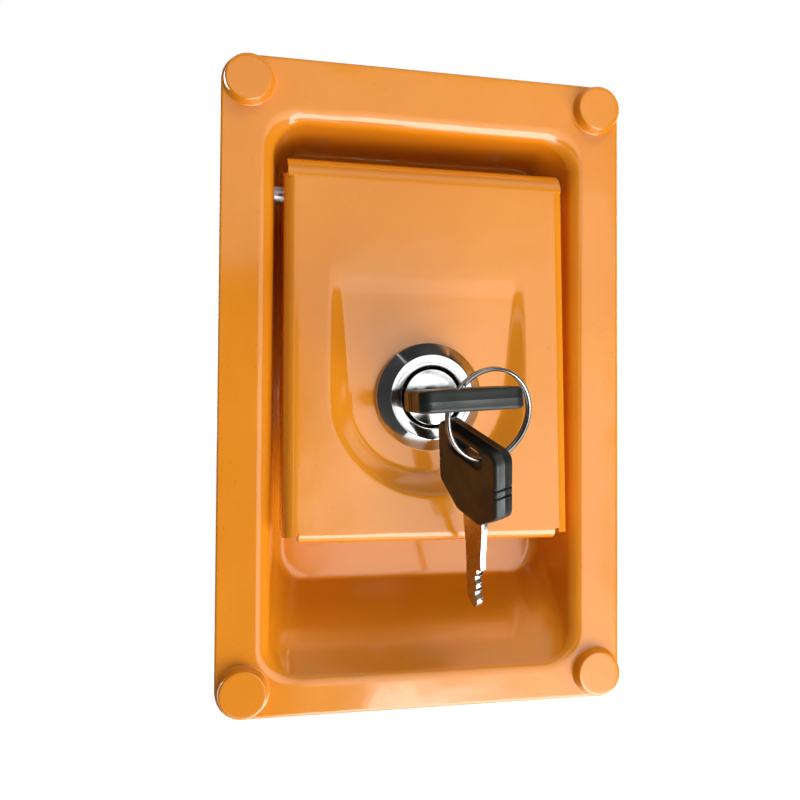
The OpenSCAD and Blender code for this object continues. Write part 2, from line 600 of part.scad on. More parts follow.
module lock_nut() color("silver") on_lock() translate([0, 0, -pad_t - 2 * seat_gap - washer_t - nut_t]) difference() {
    cylinder(r = nut_flats / 2 / cos(30), h = nut_t, $fn = 6);
    translate([0, 0, -1]) cylinder(r = barrel_d / 2 + run_gap, h = nut_t + 2);
}

// Plug with its keyway, a slot for each wafer and a square tail for the cam
bow_end_z = 41.6;
key_roll = 3.8;
blade_tip_z = bow_end_z - bow_l - blade_l;
wafer_t = 1.2;
wafer_h = 6;
wafer_count = 5;
wafer_pitch = 2.4;
wafer_first = 2.4;
blade_gap = 0.25;
tail_w = 6;
cam_gap = 0.3;
screw_r = 2;
washer_gap = seat_gap;
cam_washer_t = 0.8;
module wafer_places() {
    rotate(key_roll) for (k = [0:wafer_count - 1]) translate([0, 0, wafer_first - k * wafer_pitch]) children();
}
tail_l = cam_gap + cam_t;
module plug() color("silver") on_lock() difference() {
    union() {
        translate([0, 0, -barrel_l]) cylinder(r = plug_d / 2, h = barrel_l + bezel_h - 0.7);
        translate([0, 0, bezel_h - 0.7]) cylinder(r1 = plug_d / 2, r2 = plug_d / 2 - 0.5, h = 0.5);
        rotate(key_roll) translate([-tail_w / 2, -tail_w / 2, -barrel_l - tail_l]) cube([tail_w, tail_w, tail_l + 0.1]);
    }
    rotate(key_roll) translate([-blade_w / 2 - blade_gap, -blade_t / 2 - blade_gap, blade_tip_z - 1])
        cube([blade_w + 2 * blade_gap, blade_t + 2 * blade_gap, barrel_l + bezel_h]);
    wafer_places() translate([-plug_d, -wafer_h / 2 - 0.1, -0.1]) cube([2 * plug_d, wafer_h + 0.2, wafer_t + 0.2]);
    translate([0, 0, -barrel_l - tail_l - 1]) cylinder(r = screw_r + run_gap, h = 8);
}
module wafer_tumblers() color("goldenrod") on_lock() wafer_places() difference() {
    intersection() {
        translate([-plug_d, -wafer_h / 2, 0]) cube([2 * plug_d, wafer_h, wafer_t]);
        cylinder(r = plug_d / 2 - 0.2, h = wafer_t);
    }
    translate([-blade_w / 2 - blade_gap, -blade_t / 2 - blade_gap, -1])
        cube([blade_w + 2 * blade_gap, blade_t + 2 * blade_gap, wafer_t + 2]);
}

// Cam on the tail, pointing up while the lock is open
module cam() color("silver") on_lock() translate([0, 0, -barrel_l - cam_gap - cam_t]) rotate(key_roll) difference() {
    union() {
        cylinder(r = cam_w / 2, h = cam_t);
        translate([-cam_w / 2, 0, 0]) cube([cam_w, cam_l - 3, cam_t]);
        linear_extrude(cam_t) polygon([[-cam_w / 2, cam_l - 3], [-cam_w / 2 + 3, cam_l], [cam_w / 2 - 3, cam_l],
            [cam_w / 2, cam_l - 3]]);
    }
    translate([-tail_w / 2 - seat_gap, -tail_w / 2 - seat_gap, -1])
        cube([tail_w + 2 * seat_gap, tail_w + 2 * seat_gap, cam_t + 2]);
}
module cam_washer() color("gray") on_lock() translate([0, 0, -barrel_l - tail_l - washer_gap - cam_washer_t]) difference() {
    cylinder(r = 5.5, h = cam_washer_t);
    translate([0, 0, -1]) cylinder(r = screw_r + run_gap, h = cam_washer_t + 2);
}
screw_head_z = -barrel_l - tail_l - 2 * washer_gap - cam_washer_t;
module cam_screw() color("silver") on_lock() difference() {
    union() {
        translate([0, 0, screw_head_z]) cylinder(r = screw_r, h = 6 + cam_washer_t);
        translate([0, 0, screw_head_z - 1.6]) cylinder(r = screw_r + 1.5, h = 1.6);
        translate([0, 0, screw_head_z - 2.2]) cylinder(r1 = screw_r + 0.7, r2 = screw_r + 1.5, h = 0.6);
    }
    for (a = [0, 90]) rotate(a) translate([-2, -0.45, screw_head_z - 3]) cube([4, 0.9, 2]);
}

// Key, in its own frame: z runs from the blade's tip to the end of the bow, x across its width
bow_corner = 2;
bow_straight = 16.8;
bow_root_w = 9.4;
bow_bevel = 0.6;
slot_from_end = 4.2;
groove_w = 0.7;
groove_depth = 0.45;
tang_l = 6;
tang_gap = seat_gap;
module bow_outline(inset) {
    offset(r = bow_corner) offset(delta = -bow_corner - inset) polygon([
        [-bow_w / 2, 0], [-bow_w / 2, -bow_straight], [-bow_root_w / 2, -bow_l], [bow_root_w / 2, -bow_l],
        [bow_w / 2, -bow_straight], [bow_w / 2, 0]]);
}
module slab_bow(t, inset) {
    translate([0, t / 2, 0]) rotate([90, 0, 0]) linear_extrude(t) bow_outline(inset);
}
module bow() {
    difference() {
        hull() {
            slab_bow(bow_t - 2 * bow_bevel, 0, $fn = 16);
            slab_bow(bow_t, bow_bevel, $fn = 16);
        }
        translate([0, bow_t, -slot_from_end]) rotate([90, 0, 0]) linear_extrude(2 * bow_t) {
            square([bow_slot_l - bow_slot_w, bow_slot_w], center = true);
            for (x = [-1, 1]) translate([x * (bow_slot_l - bow_slot_w) / 2, 0]) circle(bow_slot_w / 2);
        }
        for (x = [-1, 1], z = [9, 11]) translate([x * bow_w / 2 - groove_depth, -bow_t, -z - groove_w / 2])
            cube([2 * groove_depth, 2 * bow_t, groove_w]);
        translate([-tang_w / 2 - tang_gap, -blade_t / 2 - tang_gap, -bow_l - 1])
            cube([tang_w + 2 * tang_gap, blade_t + 2 * tang_gap, tang_l + 1 + tang_gap]);
    }
}
tang_w = 6.5;
shank_w = 8;
shank_l = 3;
shank_taper = 8;
point_l = 2.2;
cut_w = 1.2;
cut_depths = [1.7, 2.5, 2, 2.6, 1.8];
function cut_z(k) = wafer_first + wafer_t / 2 - k * wafer_pitch - bow_end_z;
function cut_x(k) = blade_w / 2 - cut_depths[k];
// Each cut is a flat as wide as a wafer, and a small peak stands between it and the next
bitting = [for (k = [wafer_count - 1:-1:0]) each concat(
    [[cut_x(k), cut_z(k) - cut_w / 2], [cut_x(k), cut_z(k) + cut_w / 2]],
    k > 0 ? [[max(cut_x(k), cut_x(k - 1)) + 0.45, (cut_z(k) + cut_z(k - 1)) / 2]] : [[blade_w / 2, cut_z(k) + cut_w]])];
module blade() {
    translate([0, blade_t / 2, 0]) rotate([90, 0, 0]) linear_extrude(blade_t) polygon(concat(
        [[-tang_w / 2, tang_l - bow_l], [-tang_w / 2, -bow_l], [-shank_w / 2, -bow_l - 0.5],
            [-shank_w / 2, -bow_l - shank_l], [-blade_w / 2, -bow_l - shank_l - shank_taper],
            [-blade_w / 2, point_l - bow_l - blade_l], [-0.8, -bow_l - blade_l], [0.4, -bow_l - blade_l]],
        bitting,
        [[blade_w / 2, -bow_l - shank_l - shank_taper], [shank_w / 2, -bow_l - shank_l], [shank_w / 2, -bow_l - 0.5],
            [tang_w / 2, -bow_l], [tang_w / 2, tang_l - bow_l]]));
}
module place_key_1() {
    on_lock() rotate(key_roll) translate([0, 0, bow_end_z]) children();
}
module key_1_bow() color([0.1, 0.1, 0.1]) place_key_1() bow();
module key_1_blade() color("silver") place_key_1() blade();

// Split ring: two close turns of wire through the slots of both bows
ring_turns = 2;
ring_steps = 36;
ring_centre = [5.94, -3.46, 34.15];
ring_yaw = 14.8;
ring_pitch = 11.1;
module key_ring() color("silver") on_lock() translate(ring_centre) rotate([ring_pitch, ring_yaw, 0]) {
    turns = [for (i = [0:ring_steps * ring_turns - 1]) i / ring_steps];
    wire([for (n = turns) [ring_r * cos(360 * n), ring_r * sin(360 * n), (n - ring_turns / 2) * ring_wire * 1.06]],
        [for (n = turns) [0, 0, 1]], ring_wire / 2);
}

// The second key hangs from the ring by its slot
key_2_end = [3.87, -8.31, 29.03];
key_2_turn = [-31.8, -62.7, -45.3];
module place_key_2() {
    on_lock() translate(key_2_end) rotate(key_2_turn) children();
}
module key_2_bow() color([0.1, 0.1, 0.1]) place_key_2() bow();
module key_2_blade() color("silver") place_key_2() blade();

pan();
mounting_bolts();
hinge_pin();
hinge_pin_clip();
hinge_spring();
bolt_guide();
guide_rivets();
bolt_spring();
slam_bolt();
paddle();
release_arm();
lock_body();
lock_washer();
lock_nut();
plug();
wafer_tumblers();
cam();
cam_washer();
cam_screw();
key_1_bow();
key_1_blade();
key_ring();
key_2_bow();
key_2_blade();
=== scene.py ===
"""Flush paddle latch for a side door, dressed for rendering: enamelled pan and paddle, a chromed
cam lock, two keys on a split ring, and the slam bolt with its guide and springs behind the pan.
Lengths are in millimetres until a mesh is made, and the frame is in metres. +Z is up and the
front faces -Y. The back of the pan's flange is the plane y = 0."""
import math

import bmesh
import bpy
import numpy as np
from mathutils import Matrix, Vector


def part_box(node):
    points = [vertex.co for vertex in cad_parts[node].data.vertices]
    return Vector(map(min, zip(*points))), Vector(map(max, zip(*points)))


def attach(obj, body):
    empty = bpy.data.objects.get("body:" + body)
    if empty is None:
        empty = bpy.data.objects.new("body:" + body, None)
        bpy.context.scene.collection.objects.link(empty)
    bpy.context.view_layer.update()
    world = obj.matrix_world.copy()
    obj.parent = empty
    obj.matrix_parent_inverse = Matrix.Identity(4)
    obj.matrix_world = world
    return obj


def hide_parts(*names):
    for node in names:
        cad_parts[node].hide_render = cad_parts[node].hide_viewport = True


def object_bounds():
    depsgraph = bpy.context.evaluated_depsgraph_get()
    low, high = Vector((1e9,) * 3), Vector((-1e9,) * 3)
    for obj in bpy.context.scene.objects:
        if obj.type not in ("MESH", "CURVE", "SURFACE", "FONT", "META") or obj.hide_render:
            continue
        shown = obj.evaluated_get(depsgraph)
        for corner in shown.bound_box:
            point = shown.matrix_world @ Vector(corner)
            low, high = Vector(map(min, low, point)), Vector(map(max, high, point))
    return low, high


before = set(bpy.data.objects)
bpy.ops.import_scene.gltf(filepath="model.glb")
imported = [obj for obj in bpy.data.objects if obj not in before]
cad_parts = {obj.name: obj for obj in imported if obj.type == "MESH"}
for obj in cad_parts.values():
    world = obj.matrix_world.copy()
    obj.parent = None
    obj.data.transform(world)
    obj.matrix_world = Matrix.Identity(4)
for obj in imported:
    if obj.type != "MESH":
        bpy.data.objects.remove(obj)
cad_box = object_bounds()

# Pan: one pressing of 1.5 mm steel sheet, enamelled orange. A flat flange rolls over a rim into a
# deep recess with a sloped finger ramp at the bottom. The floor has a window behind the lock, and a
# slot above it for the release arm.
MM = 0.001
weld = 0.002  # points nearer than this are one point


def node_box(node):
    """A CAD node's box in millimetres, as its low and its high corner."""
    return [np.array(corner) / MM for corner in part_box(node)]


pan_low, pan_high = node_box("pan")
flange_half_w, flange_half_h = pan_high[0], pan_high[2]
front_y, floor_back = pan_low[1], pan_high[1]
sheet = -front_y
floor_front = floor_back - sheet
recess_depth = floor_front - front_y
flange_corner, mouth_corner, floor_corner = 7.5, 10.0, 7.5
mouth_half_w, mouth_top, mouth_bottom = 45.0, 72.5, 77.5
rim_r, fillet_r = 4.0, 3.0
wall_draft, ramp_slope = 8.0, 47.0
window_half_w, window_top, window_bottom, window_corner = 14.5, 19.9, -16.6, 3.0
arm_slot_r, arm_slot_low, arm_slot_high, cutter_over = 2.5, 39.8, 51.2, 2.0
edge_r, edge_turn = 0.6, np.radians([0, 22, 45, 68, 90])
support = 0.35  # from a bend to the ring beside it, which keeps the flat's shading even
crease = 35.0  # edges sharper than this, in degrees, stay crisp


def quads(rows, columns, rows_meet=False, columns_meet=False):
    """Faces between neighbours on a grid of points; either direction may meet itself again."""
    j = np.arange(rows if rows_meet else rows - 1)[:, None]
    i = np.arange(columns if columns_meet else columns - 1)[None, :]
    over, along = (j + 1) % rows, (i + 1) % columns
    faces = [j * columns + i, j * columns + along, over * columns + along, over * columns + i]
    return np.stack(np.broadcast_arrays(*faces), -1).reshape(-1, 4)


def grid_part(points, rows_meet=False, columns_meet=False):
    """A grid of points as a list of points and the faces between them."""
    rows, columns = points.shape[:2]
    return points.reshape(-1, 3), quads(rows, columns, rows_meet, columns_meet)


def build_mesh(name, parts, sharp=crease):
    """One mesh from several parts. Points that coincide are merged, which closes seams and poles,
    faces are turned outwards, and edges sharper than the angle stay crisp."""
    starts = np.cumsum([0] + [len(points) for points, _ in parts])
    points = np.concatenate([points for points, _ in parts])
    faces = np.concatenate([faces + start for (_, faces), start in zip(parts, starts)])
    mesh = bpy.data.meshes.new(name)
    mesh.from_pydata((points * MM).tolist(), [], faces.tolist())
    work = bmesh.new()
    work.from_mesh(mesh)
    bmesh.ops.remove_doubles(work, verts=work.verts, dist=weld * MM)
    bmesh.ops.recalc_face_normals(work, faces=work.faces)
    work.to_mesh(mesh)
    work.free()
    mesh.shade_smooth()
    mesh.set_sharp_from_angle(angle=math.radians(sharp))
    return mesh


def place(name, mesh, material, body, slot, *nodes):
    """An object at the origin for a mesh, on its body, in place of the CAD nodes it stands for."""
    piece = bpy.data.objects.new(name, mesh)
    bpy.context.scene.collection.objects.link(piece)
    mesh.materials.clear()
    mesh.materials.append(material)
    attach(piece, body)
    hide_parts(*nodes)
    return piece


def wall_profile(draft):
    """Across a wall of the recess, from the flange to the floor: a roll over the rim, r sin a in
    and r (1 - cos a) down, a straight run down the draft and a like fillet onto the floor. It
    gives the inset, the depth and the slope at each step."""
    tilt, slope = math.radians(draft), math.radians(90 - draft)
    reach = (rim_r + fillet_r) * math.cos(tilt) + math.tan(tilt) * (
        recess_depth - (rim_r + fillet_r) * (1 - math.sin(tilt)))
    roll, turn = np.linspace(0, slope, 15), np.linspace(slope, 0, 13)
    run = np.linspace(0, 1, 8)[1:-1]
    rim_x, rim_y = rim_r * np.sin(roll), rim_r * (1 - np.cos(roll))
    floor_x, floor_y = reach - fillet_r * np.sin(turn), recess_depth - fillet_r * (1 - np.cos(turn))
    return (np.concatenate([rim_x, rim_x[-1] + (floor_x[0] - rim_x[-1]) * run, floor_x]),
            np.concatenate([rim_y, rim_y[-1] + (floor_y[0] - rim_y[-1]) * run, floor_y]),
            np.concatenate([roll, np.full(len(run), slope), turn]))


def rounded_rings(half_w, top, bottom, corner, y_side, y_bottom, steps=14):
    """Rounded rectangles, one for each row of sizes. Along the two lower corners the depth passes
    from that of the sides to that of the bottom by the squared cosine and sine of the angle."""
    sizes = (half_w, top, bottom, corner, y_side, y_bottom)
    half_w, top, bottom, corner, y_side, y_bottom = (
        np.atleast_1d(np.asarray(size, float))[:, None] for size in sizes)
    quarter = np.linspace(0, math.pi / 2, steps + 1)
    runs = []
    for side, up, start in ((1, 1, 0), (-1, 1, 1), (-1, -1, 2), (1, -1, 3)):
        a = quarter + start * math.pi / 2
        x = side * (half_w - corner) + corner * np.cos(a)
        z = (top - corner if up > 0 else corner - bottom) + corner * np.sin(a)
        y_low = y_side if up > 0 else y_bottom
        y = y_side * np.cos(a) ** 2 + y_low * np.sin(a) ** 2
        runs.append(np.stack(np.broadcast_arrays(x, y, z), -1))
    return np.concatenate(runs, 1)


def recess_rings(thickness):
    """Rings down the recess, on its face or behind it by the thickness along its own normal."""
    side_x, side_y, side_a = wall_profile(wall_draft)
    ramp_x, ramp_y, ramp_a = wall_profile(ramp_slope)
    side_x, ramp_x = side_x - thickness * np.sin(side_a), ramp_x - thickness * np.sin(ramp_a)
    side_y, ramp_y = side_y + thickness * np.cos(side_a), ramp_y + thickness * np.cos(ramp_a)
    share = np.linspace(0, 1, len(side_x))
    corner = mouth_corner + (floor_corner - mouth_corner) * share + thickness * np.sin(side_a)
    rings = rounded_rings(mouth_half_w - side_x, mouth_top - side_x, mouth_bottom - ramp_x, corner,
                          front_y + side_y, front_y + ramp_y)
    outer = rounded_rings(mouth_half_w + support, mouth_top + support, mouth_bottom + support,
                          mouth_corner + support, front_y + thickness, front_y + thickness)
    inner_x, low_x = side_x[-1] + support, ramp_x[-1] + support
    inner = rounded_rings(mouth_half_w - inner_x, mouth_top - inner_x, mouth_bottom - low_x,
                          floor_corner - support, front_y + side_y[-1], front_y + side_y[-1])
    return np.concatenate([outer, rings, inner])


def flange_rings(insets, depths):
    """Rings round the flange's edge, each at its inset and its depth behind the front."""
    insets = np.asarray(insets, float)
    y = front_y + np.asarray(depths, float)
    return rounded_rings(flange_half_w - insets, flange_half_h - insets, flange_half_h - insets,
                         flange_corner - insets, y, y)


def window_ring(y):
    """The edge of the window in the floor, at a depth."""
    return rounded_rings(window_half_w, window_top, -window_bottom, window_corner, y, y)


def prism_part(outline, y0, y1):
    """A flat outline in x and z carried straight from one depth to another, closed at both ends by
    faces that meet in its middle."""
    middle = np.broadcast_to(outline.mean(0), outline.shape)
    rings = ((middle, y0), (outline, y0), (outline, y1), (middle, y1))
    grid = [np.column_stack([ring[:, 0], np.full(len(ring), y), ring[:, 1]]) for ring, y in rings]
    return grid_part(np.stack(grid), False, True)


def cut_out(mesh, cutters):
    """The mesh with closed cutters taken away from it by a Boolean, as a plain mesh again."""
    piece = bpy.data.objects.new("to_cut", mesh)
    tool = bpy.data.objects.new("cutter", build_mesh("cutter", cutters))
    for thing in (piece, tool):
        bpy.context.scene.collection.objects.link(thing)
    cut = piece.modifiers.new("cut", "BOOLEAN")
    cut.operation, cut.solver, cut.object = "DIFFERENCE", "EXACT", tool
    graph = bpy.context.evaluated_depsgraph_get()
    result = bpy.data.meshes.new_from_object(piece.evaluated_get(graph))
    result.name = mesh.name
    for thing in (piece, tool):
        bpy.data.objects.remove(thing)
    result.set_sharp_from_angle(angle=math.radians(crease))
    return result


def new_finish(name, constants):
    """A material with one Principled shader whose sockets hold constants, and its node tree."""
    material = bpy.data.materials.new(name)
    material.use_nodes = True
    tree = material.node_tree
    shader = tree.nodes["Principled BSDF"]
    for socket, value in constants.items():
        shader.inputs[socket].default_value = value
    return material, tree, shader


def noise(tree, per_metre, detail=3.0, stretch=(1, 1, 1)):
    """Noise on Object coordinates, with a number of cells per metre, pulled along an axis."""
    coordinates = tree.nodes.new("ShaderNodeTexCoord")
    mapping = tree.nodes.new("ShaderNodeMapping")
    mapping.inputs["Scale"].default_value = stretch
    texture = tree.nodes.new("ShaderNodeTexNoise")
    texture.inputs["Scale"].default_value = per_metre
    texture.inputs["Detail"].default_value = detail
    tree.links.new(coordinates.outputs["Object"], mapping.inputs["Vector"])
    tree.links.new(mapping.outputs["Vector"], texture.inputs["Vector"])
    return texture.outputs["Fac"]


def spread(tree, value, low, high, start=0.35, end=0.65):
    """A value taken from start and end onto low and high, and held there beyond them."""
    node = tree.nodes.new("ShaderNodeMapRange")
    limits = {"From Min": start, "From Max": end, "To Min": low, "To Max": high}
    for socket, number in limits.items():
        node.inputs[socket].default_value = number
    tree.links.new(value, node.inputs["Value"])
    return node.outputs["Result"]


def blend_colours(tree, share, first, second):
    """Colour between two others by a share; the first may be a colour or a socket."""
    node = tree.nodes.new("ShaderNodeMix")
    node.data_type = "RGBA"
    tree.links.new(share, node.inputs["Factor"])
    for socket, colour in (("A", first), ("B", second)):
        target = [s for s in node.inputs if s.name == socket and s.type == "RGBA"][0]
        if isinstance(colour, bpy.types.NodeSocket):
            tree.links.new(colour, target)
        else:
            target.default_value = (*colour, 1)
    return [s for s in node.outputs if s.type == "RGBA"][0]


def add_bump(tree, height, depth, before=None):
    """Bump from a height, its full range standing for a depth, on top of an earlier bump."""
    node = tree.nodes.new("ShaderNodeBump")
    node.inputs["Distance"].default_value = depth * MM
    node.inputs["Strength"].default_value = 1.0
    tree.links.new(height, node.inputs["Height"])
    if before is not None:
        tree.links.new(before, node.inputs["Normal"])
    return node.outputs["Normal"]


def orange_enamel():
    """Stoved enamel: even orange with faint clouds, an orange-peel surface, and specks of dust."""
    material, tree, shader = new_finish("orange_enamel", {
        "Metallic": 0.0, "Coat Weight": 1.0, "Coat Roughness": 0.12, "Coat IOR": 1.68,
        "Specular IOR Level": 0.12})
    clouds = spread(tree, noise(tree, 26, 4), 0, 1)
    colour = blend_colours(tree, clouds, (0.79, 0.252, 0.008), (0.83, 0.282, 0.011))
    specks = spread(tree, noise(tree, 1700, 1), 0, 1, 0.74, 0.80)
    colour = blend_colours(tree, specks, colour, (0.62, 0.14, 0.008))
    tree.links.new(colour, shader.inputs["Base Color"])
    tree.links.new(spread(tree, noise(tree, 60, 5), 0.30, 0.46), shader.inputs["Roughness"])
    waves = add_bump(tree, noise(tree, 42, 2), 0.38)
    peel = add_bump(tree, noise(tree, 620, 2), 0.012, waves)
    tree.links.new(peel, shader.inputs["Normal"])
    tree.links.new(peel, shader.inputs["Coat Normal"])
    return material


enamel = orange_enamel()
pan_grid = np.concatenate([
    window_ring(floor_back),
    recess_rings(sheet)[::-1],
    flange_rings([support, 0, 0], [sheet, sheet, sheet - support]),
    flange_rings(edge_r * (1 - np.sin(edge_turn)), edge_r * (1 - np.cos(edge_turn)))[::-1],
    flange_rings([edge_r + support], [0]),
    recess_rings(0),
    window_ring(floor_front)])
half_turn = np.linspace(0, math.pi, 17)
arm_slot_x, arm_slot_rise = arm_slot_r * np.cos(half_turn), arm_slot_r * np.sin(half_turn)
arm_slot = np.concatenate([np.column_stack([arm_slot_x, arm_slot_high + arm_slot_rise]),
                           np.column_stack([-arm_slot_x, arm_slot_low - arm_slot_rise])])
arm_cutter = prism_part(arm_slot, floor_front - cutter_over, floor_back + cutter_over)
pan_mesh = cut_out(build_mesh("pan_sheet", [grid_part(pan_grid, True, True)]), [arm_cutter])
place("pan_shell", pan_mesh, enamel, "frame", "orange", "pan")

# Mounting bolts: four bolts with flat round heads, painted with the pan, so that enamel fills the
# corner round each head. A square neck is hidden in the flange, and the plain zinc-plated shank
# runs on into the door.
bolt_low, bolt_high = node_box("mounting_bolts")
head_r, head_round, head_taper = 6.5, 0.55, 0.4
head_flat_r, foot_r, foot_h = head_r - 1.6, head_r - 0.12, 0.7
enamel_foot_r, enamel_r, enamel_under = head_r + 0.35, 0.45, 0.02
head_rise = -bolt_low[1] - sheet
bolt_x, bolt_z = bolt_high[0] - head_r, bolt_high[2] - head_r
shank_r, shank_end, shank_chamfer = 3.0, bolt_high[1], 0.8


def lathe(profile, steps=64):
    """A profile of radius and height turned about the height axis, as r cos a, r sin a and h."""
    profile = np.asarray(profile, float)
    a = np.linspace(0, 2 * math.pi, steps, endpoint=False)
    r, h = profile[:, 0][:, None], profile[:, 1][:, None]
    return np.stack(np.broadcast_arrays(r * np.cos(a), r * np.sin(a), h), -1)


def arc(centre_r, centre_h, radius, start, end, steps=6):
    """Points of a profile along an arc, by its centre, radius, and start and end in degrees."""
    a = np.radians(np.linspace(start, end, steps + 1))
    return np.column_stack([centre_r + radius * np.cos(a), centre_h + radius * np.sin(a)])


def zinc_plate(name, tint):
    """Bright zinc plating: a grey metal with soft spangle, rubbed lines and dull patches."""
    material, tree, shader = new_finish(name, {"Metallic": 1.0})
    patches = spread(tree, noise(tree, 420, 5), 0, 1)
    dark = tuple(0.94 * value for value in tint)
    tree.links.new(blend_colours(tree, patches, dark, tint), shader.inputs["Base Color"])
    tree.links.new(spread(tree, noise(tree, 300, 4), 0.30, 0.38), shader.inputs["Roughness"])
    lines = noise(tree, 500, 2, (1, 1, 0.08))
    tree.links.new(add_bump(tree, lines, 0.012), shader.inputs["Normal"])
    return material


zinc = zinc_plate("zinc_plate", (0.62, 0.63, 0.62))
head_grid = lathe(np.concatenate([
    [[0, head_rise], [head_flat_r, head_rise]],
    arc(head_r - head_taper - head_round, head_rise - head_round, head_round, 90, 8),
    [[foot_r, foot_h]],
    arc(enamel_foot_r, enamel_r, enamel_r, 180, 270),
    [[enamel_foot_r, -enamel_under], [0, -enamel_under]]]))
shank_grid = lathe([
    [0, -shank_end], [shank_r - shank_chamfer, -shank_end], [shank_r, shank_chamfer - shank_end],
    [shank_r, sheet], [0, sheet]], 40)
heads, shanks = [], []
for x, z in ((-bolt_x, -bolt_z), (-bolt_x, bolt_z), (bolt_x, -bolt_z), (bolt_x, bolt_z)):
    for grid, parts, base in ((head_grid, heads, sheet), (shank_grid, shanks, 0)):
        moved = np.stack([x + grid[..., 0], -(grid[..., 2] + base), z + grid[..., 1]], -1)
        parts.append(grid_part(moved, False, True))
place("bolt_heads", build_mesh("bolt_heads", heads), enamel, "frame", "orange", "mounting_bolts")
place("bolt_shanks", build_mesh("bolt_shanks", shanks), zinc, "frame", "zinc")

# Paddle: a pressed sheet, enamelled like the pan. Its face has a dish sunk round the lock, and four
# folded flaps, of which the side ones run back as ears round the hinge pin.
paddle_half_w, paddle_top, paddle_bottom = 38.5, 59.8, -41.0
paddle_sheet, paddle_edge = 1.5, 0.25
face_y = front_y - 0.5
side_bend, top_bend, bottom_bend = 3.0, 6.0, 2.6
side_flap, top_flap, bottom_flap = 7.5, 9.5, 6.5
top_notch, bottom_notch = 0.9, 4.0
pin_y, pin_z = 8.5, 51.5
ear_r, ear_reach, ear_rise_z = 6.0, 8.0, 2.0
ear_back = pin_y + ear_r - 1.0
lean = math.radians(2.4)
dish_r, dish_meet, dish_end, dish_fade = 27.0, 34.0, 31.5, 8.0
dish_slope = math.radians(5)
lock_z = -3.1
band_at_face, band_growth = 3.2, 0.90
face_half_w = paddle_half_w - side_bend
face_top, face_bottom = paddle_top - top_bend, paddle_bottom + bottom_bend
side_low, side_high = face_bottom - 0.4 * bottom_bend, face_top + 0.8
fine_half_w, fine_half_h, fine_steps, coarse_step = 32.0, 33.5, 121, 2.5
slack = 1e-6


def leaned(points):
    """Points drawn on an upright paddle, turned about the hinge pin into its lean."""
    y, z = points[..., 1] - pin_y, points[..., 2] - pin_z
    return np.stack([points[..., 0], pin_y + y * math.cos(lean) + z * math.sin(lean),
                     pin_z - y * math.sin(lean) + z * math.cos(lean)], -1)


def ease(share):
    """Smooth step from 0 to 1: s^2 (3 - 2 s)."""
    share = np.clip(share, 0, 1)
    return share * share * (3 - 2 * share)


def flat_ease(share, soft=0.18):
    """Even ramp from 0 to 1 with short round ends, soft wide: s^2 / (2 soft (1 - soft)) in the
    first, (s - soft / 2) / (1 - soft) between them, and the first turned about for the last."""
    share = np.clip(share, 0, 1)
    near = np.minimum(share, 1 - share)
    low = np.where(near < soft, near ** 2 / (2 * soft), near - soft / 2) / (1 - soft)
    return np.where(share < 0.5, low, 1 - low)


def dish_depth(x, z):
    """The dish's floor slopes away from the face below dish_meet, by the drop times the slope's
    tangent. It fades in from its top, and its edge is a band that widens with depth, on a half
    circle below the lock and straight above it."""
    plane = np.maximum(0, (dish_meet - z) * math.tan(dish_slope))
    edge = dish_r - np.where(z > lock_z, np.abs(x), np.hypot(x, z - lock_z))
    band = band_at_face + band_growth * plane
    return plane * ease((dish_end - z) / dish_fade) * flat_ease(edge / band)


def bend(radius, steps=10):
    """A folded edge seen end on: r sin a outwards and r (1 - cos a) back, over a quarter turn."""
    a = np.linspace(0, math.pi / 2, steps + 1)
    return radius * np.sin(a), radius * (1 - np.cos(a))


def ear_round(z):
    """Half the ear's width at a height, on its circle round the hinge pin."""
    return np.sqrt(np.maximum(0, ear_r ** 2 - (z - pin_z) ** 2))


def flap_end(z):
    """How far back the side flap reaches: a shallow flap, a rise, then the ear round the pin."""
    line = np.interp(z, [ear_rise_z, pin_z - ear_reach, pin_z, side_high],
                     [face_y + side_flap, ear_back, ear_back, pin_y])
    return np.maximum(line, pin_y + ear_round(z))


def flap_start(z):
    """Where the side flap begins behind the bend; above the fold only the ear's round is left."""
    return np.where(z > side_high + slack, pin_y - ear_round(z), face_y + side_bend)


def point_forward(mesh):
    """Turns an open sheet's faces so that most of their area looks to the front."""
    normals, areas = np.empty(3 * len(mesh.polygons)), np.empty(len(mesh.polygons))
    mesh.polygons.foreach_get("normal", normals)
    mesh.polygons.foreach_get("area", areas)
    if normals[1::3] @ areas > 0:
        mesh.flip_normals()


def soften(piece, width, angle):
    """A small round, two facets wide, on every edge sharper than an angle."""
    bevel = piece.modifiers.new("soften", "BEVEL")
    bevel.width, bevel.segments, bevel.limit_method = width * MM, 2, "ANGLE"
    bevel.angle_limit, bevel.harden_normals = math.radians(angle), True


fine_x = np.linspace(-fine_half_w, fine_half_w, fine_steps)
fine_z = np.linspace(-fine_half_h, fine_half_h, fine_steps)
coarse_x = fine_half_w + coarse_step
face_x = np.concatenate([[-face_half_w, -coarse_x], fine_x, [coarse_x, face_half_w]])
coarse_z = np.linspace(fine_half_h + coarse_step, face_top, 8)
face_z = np.concatenate([[face_bottom], fine_z, coarse_z])
x, z = np.meshgrid(face_x, face_z)
paddle_parts = [grid_part(np.stack([x, face_y + dish_depth(x, z), z], -1))]

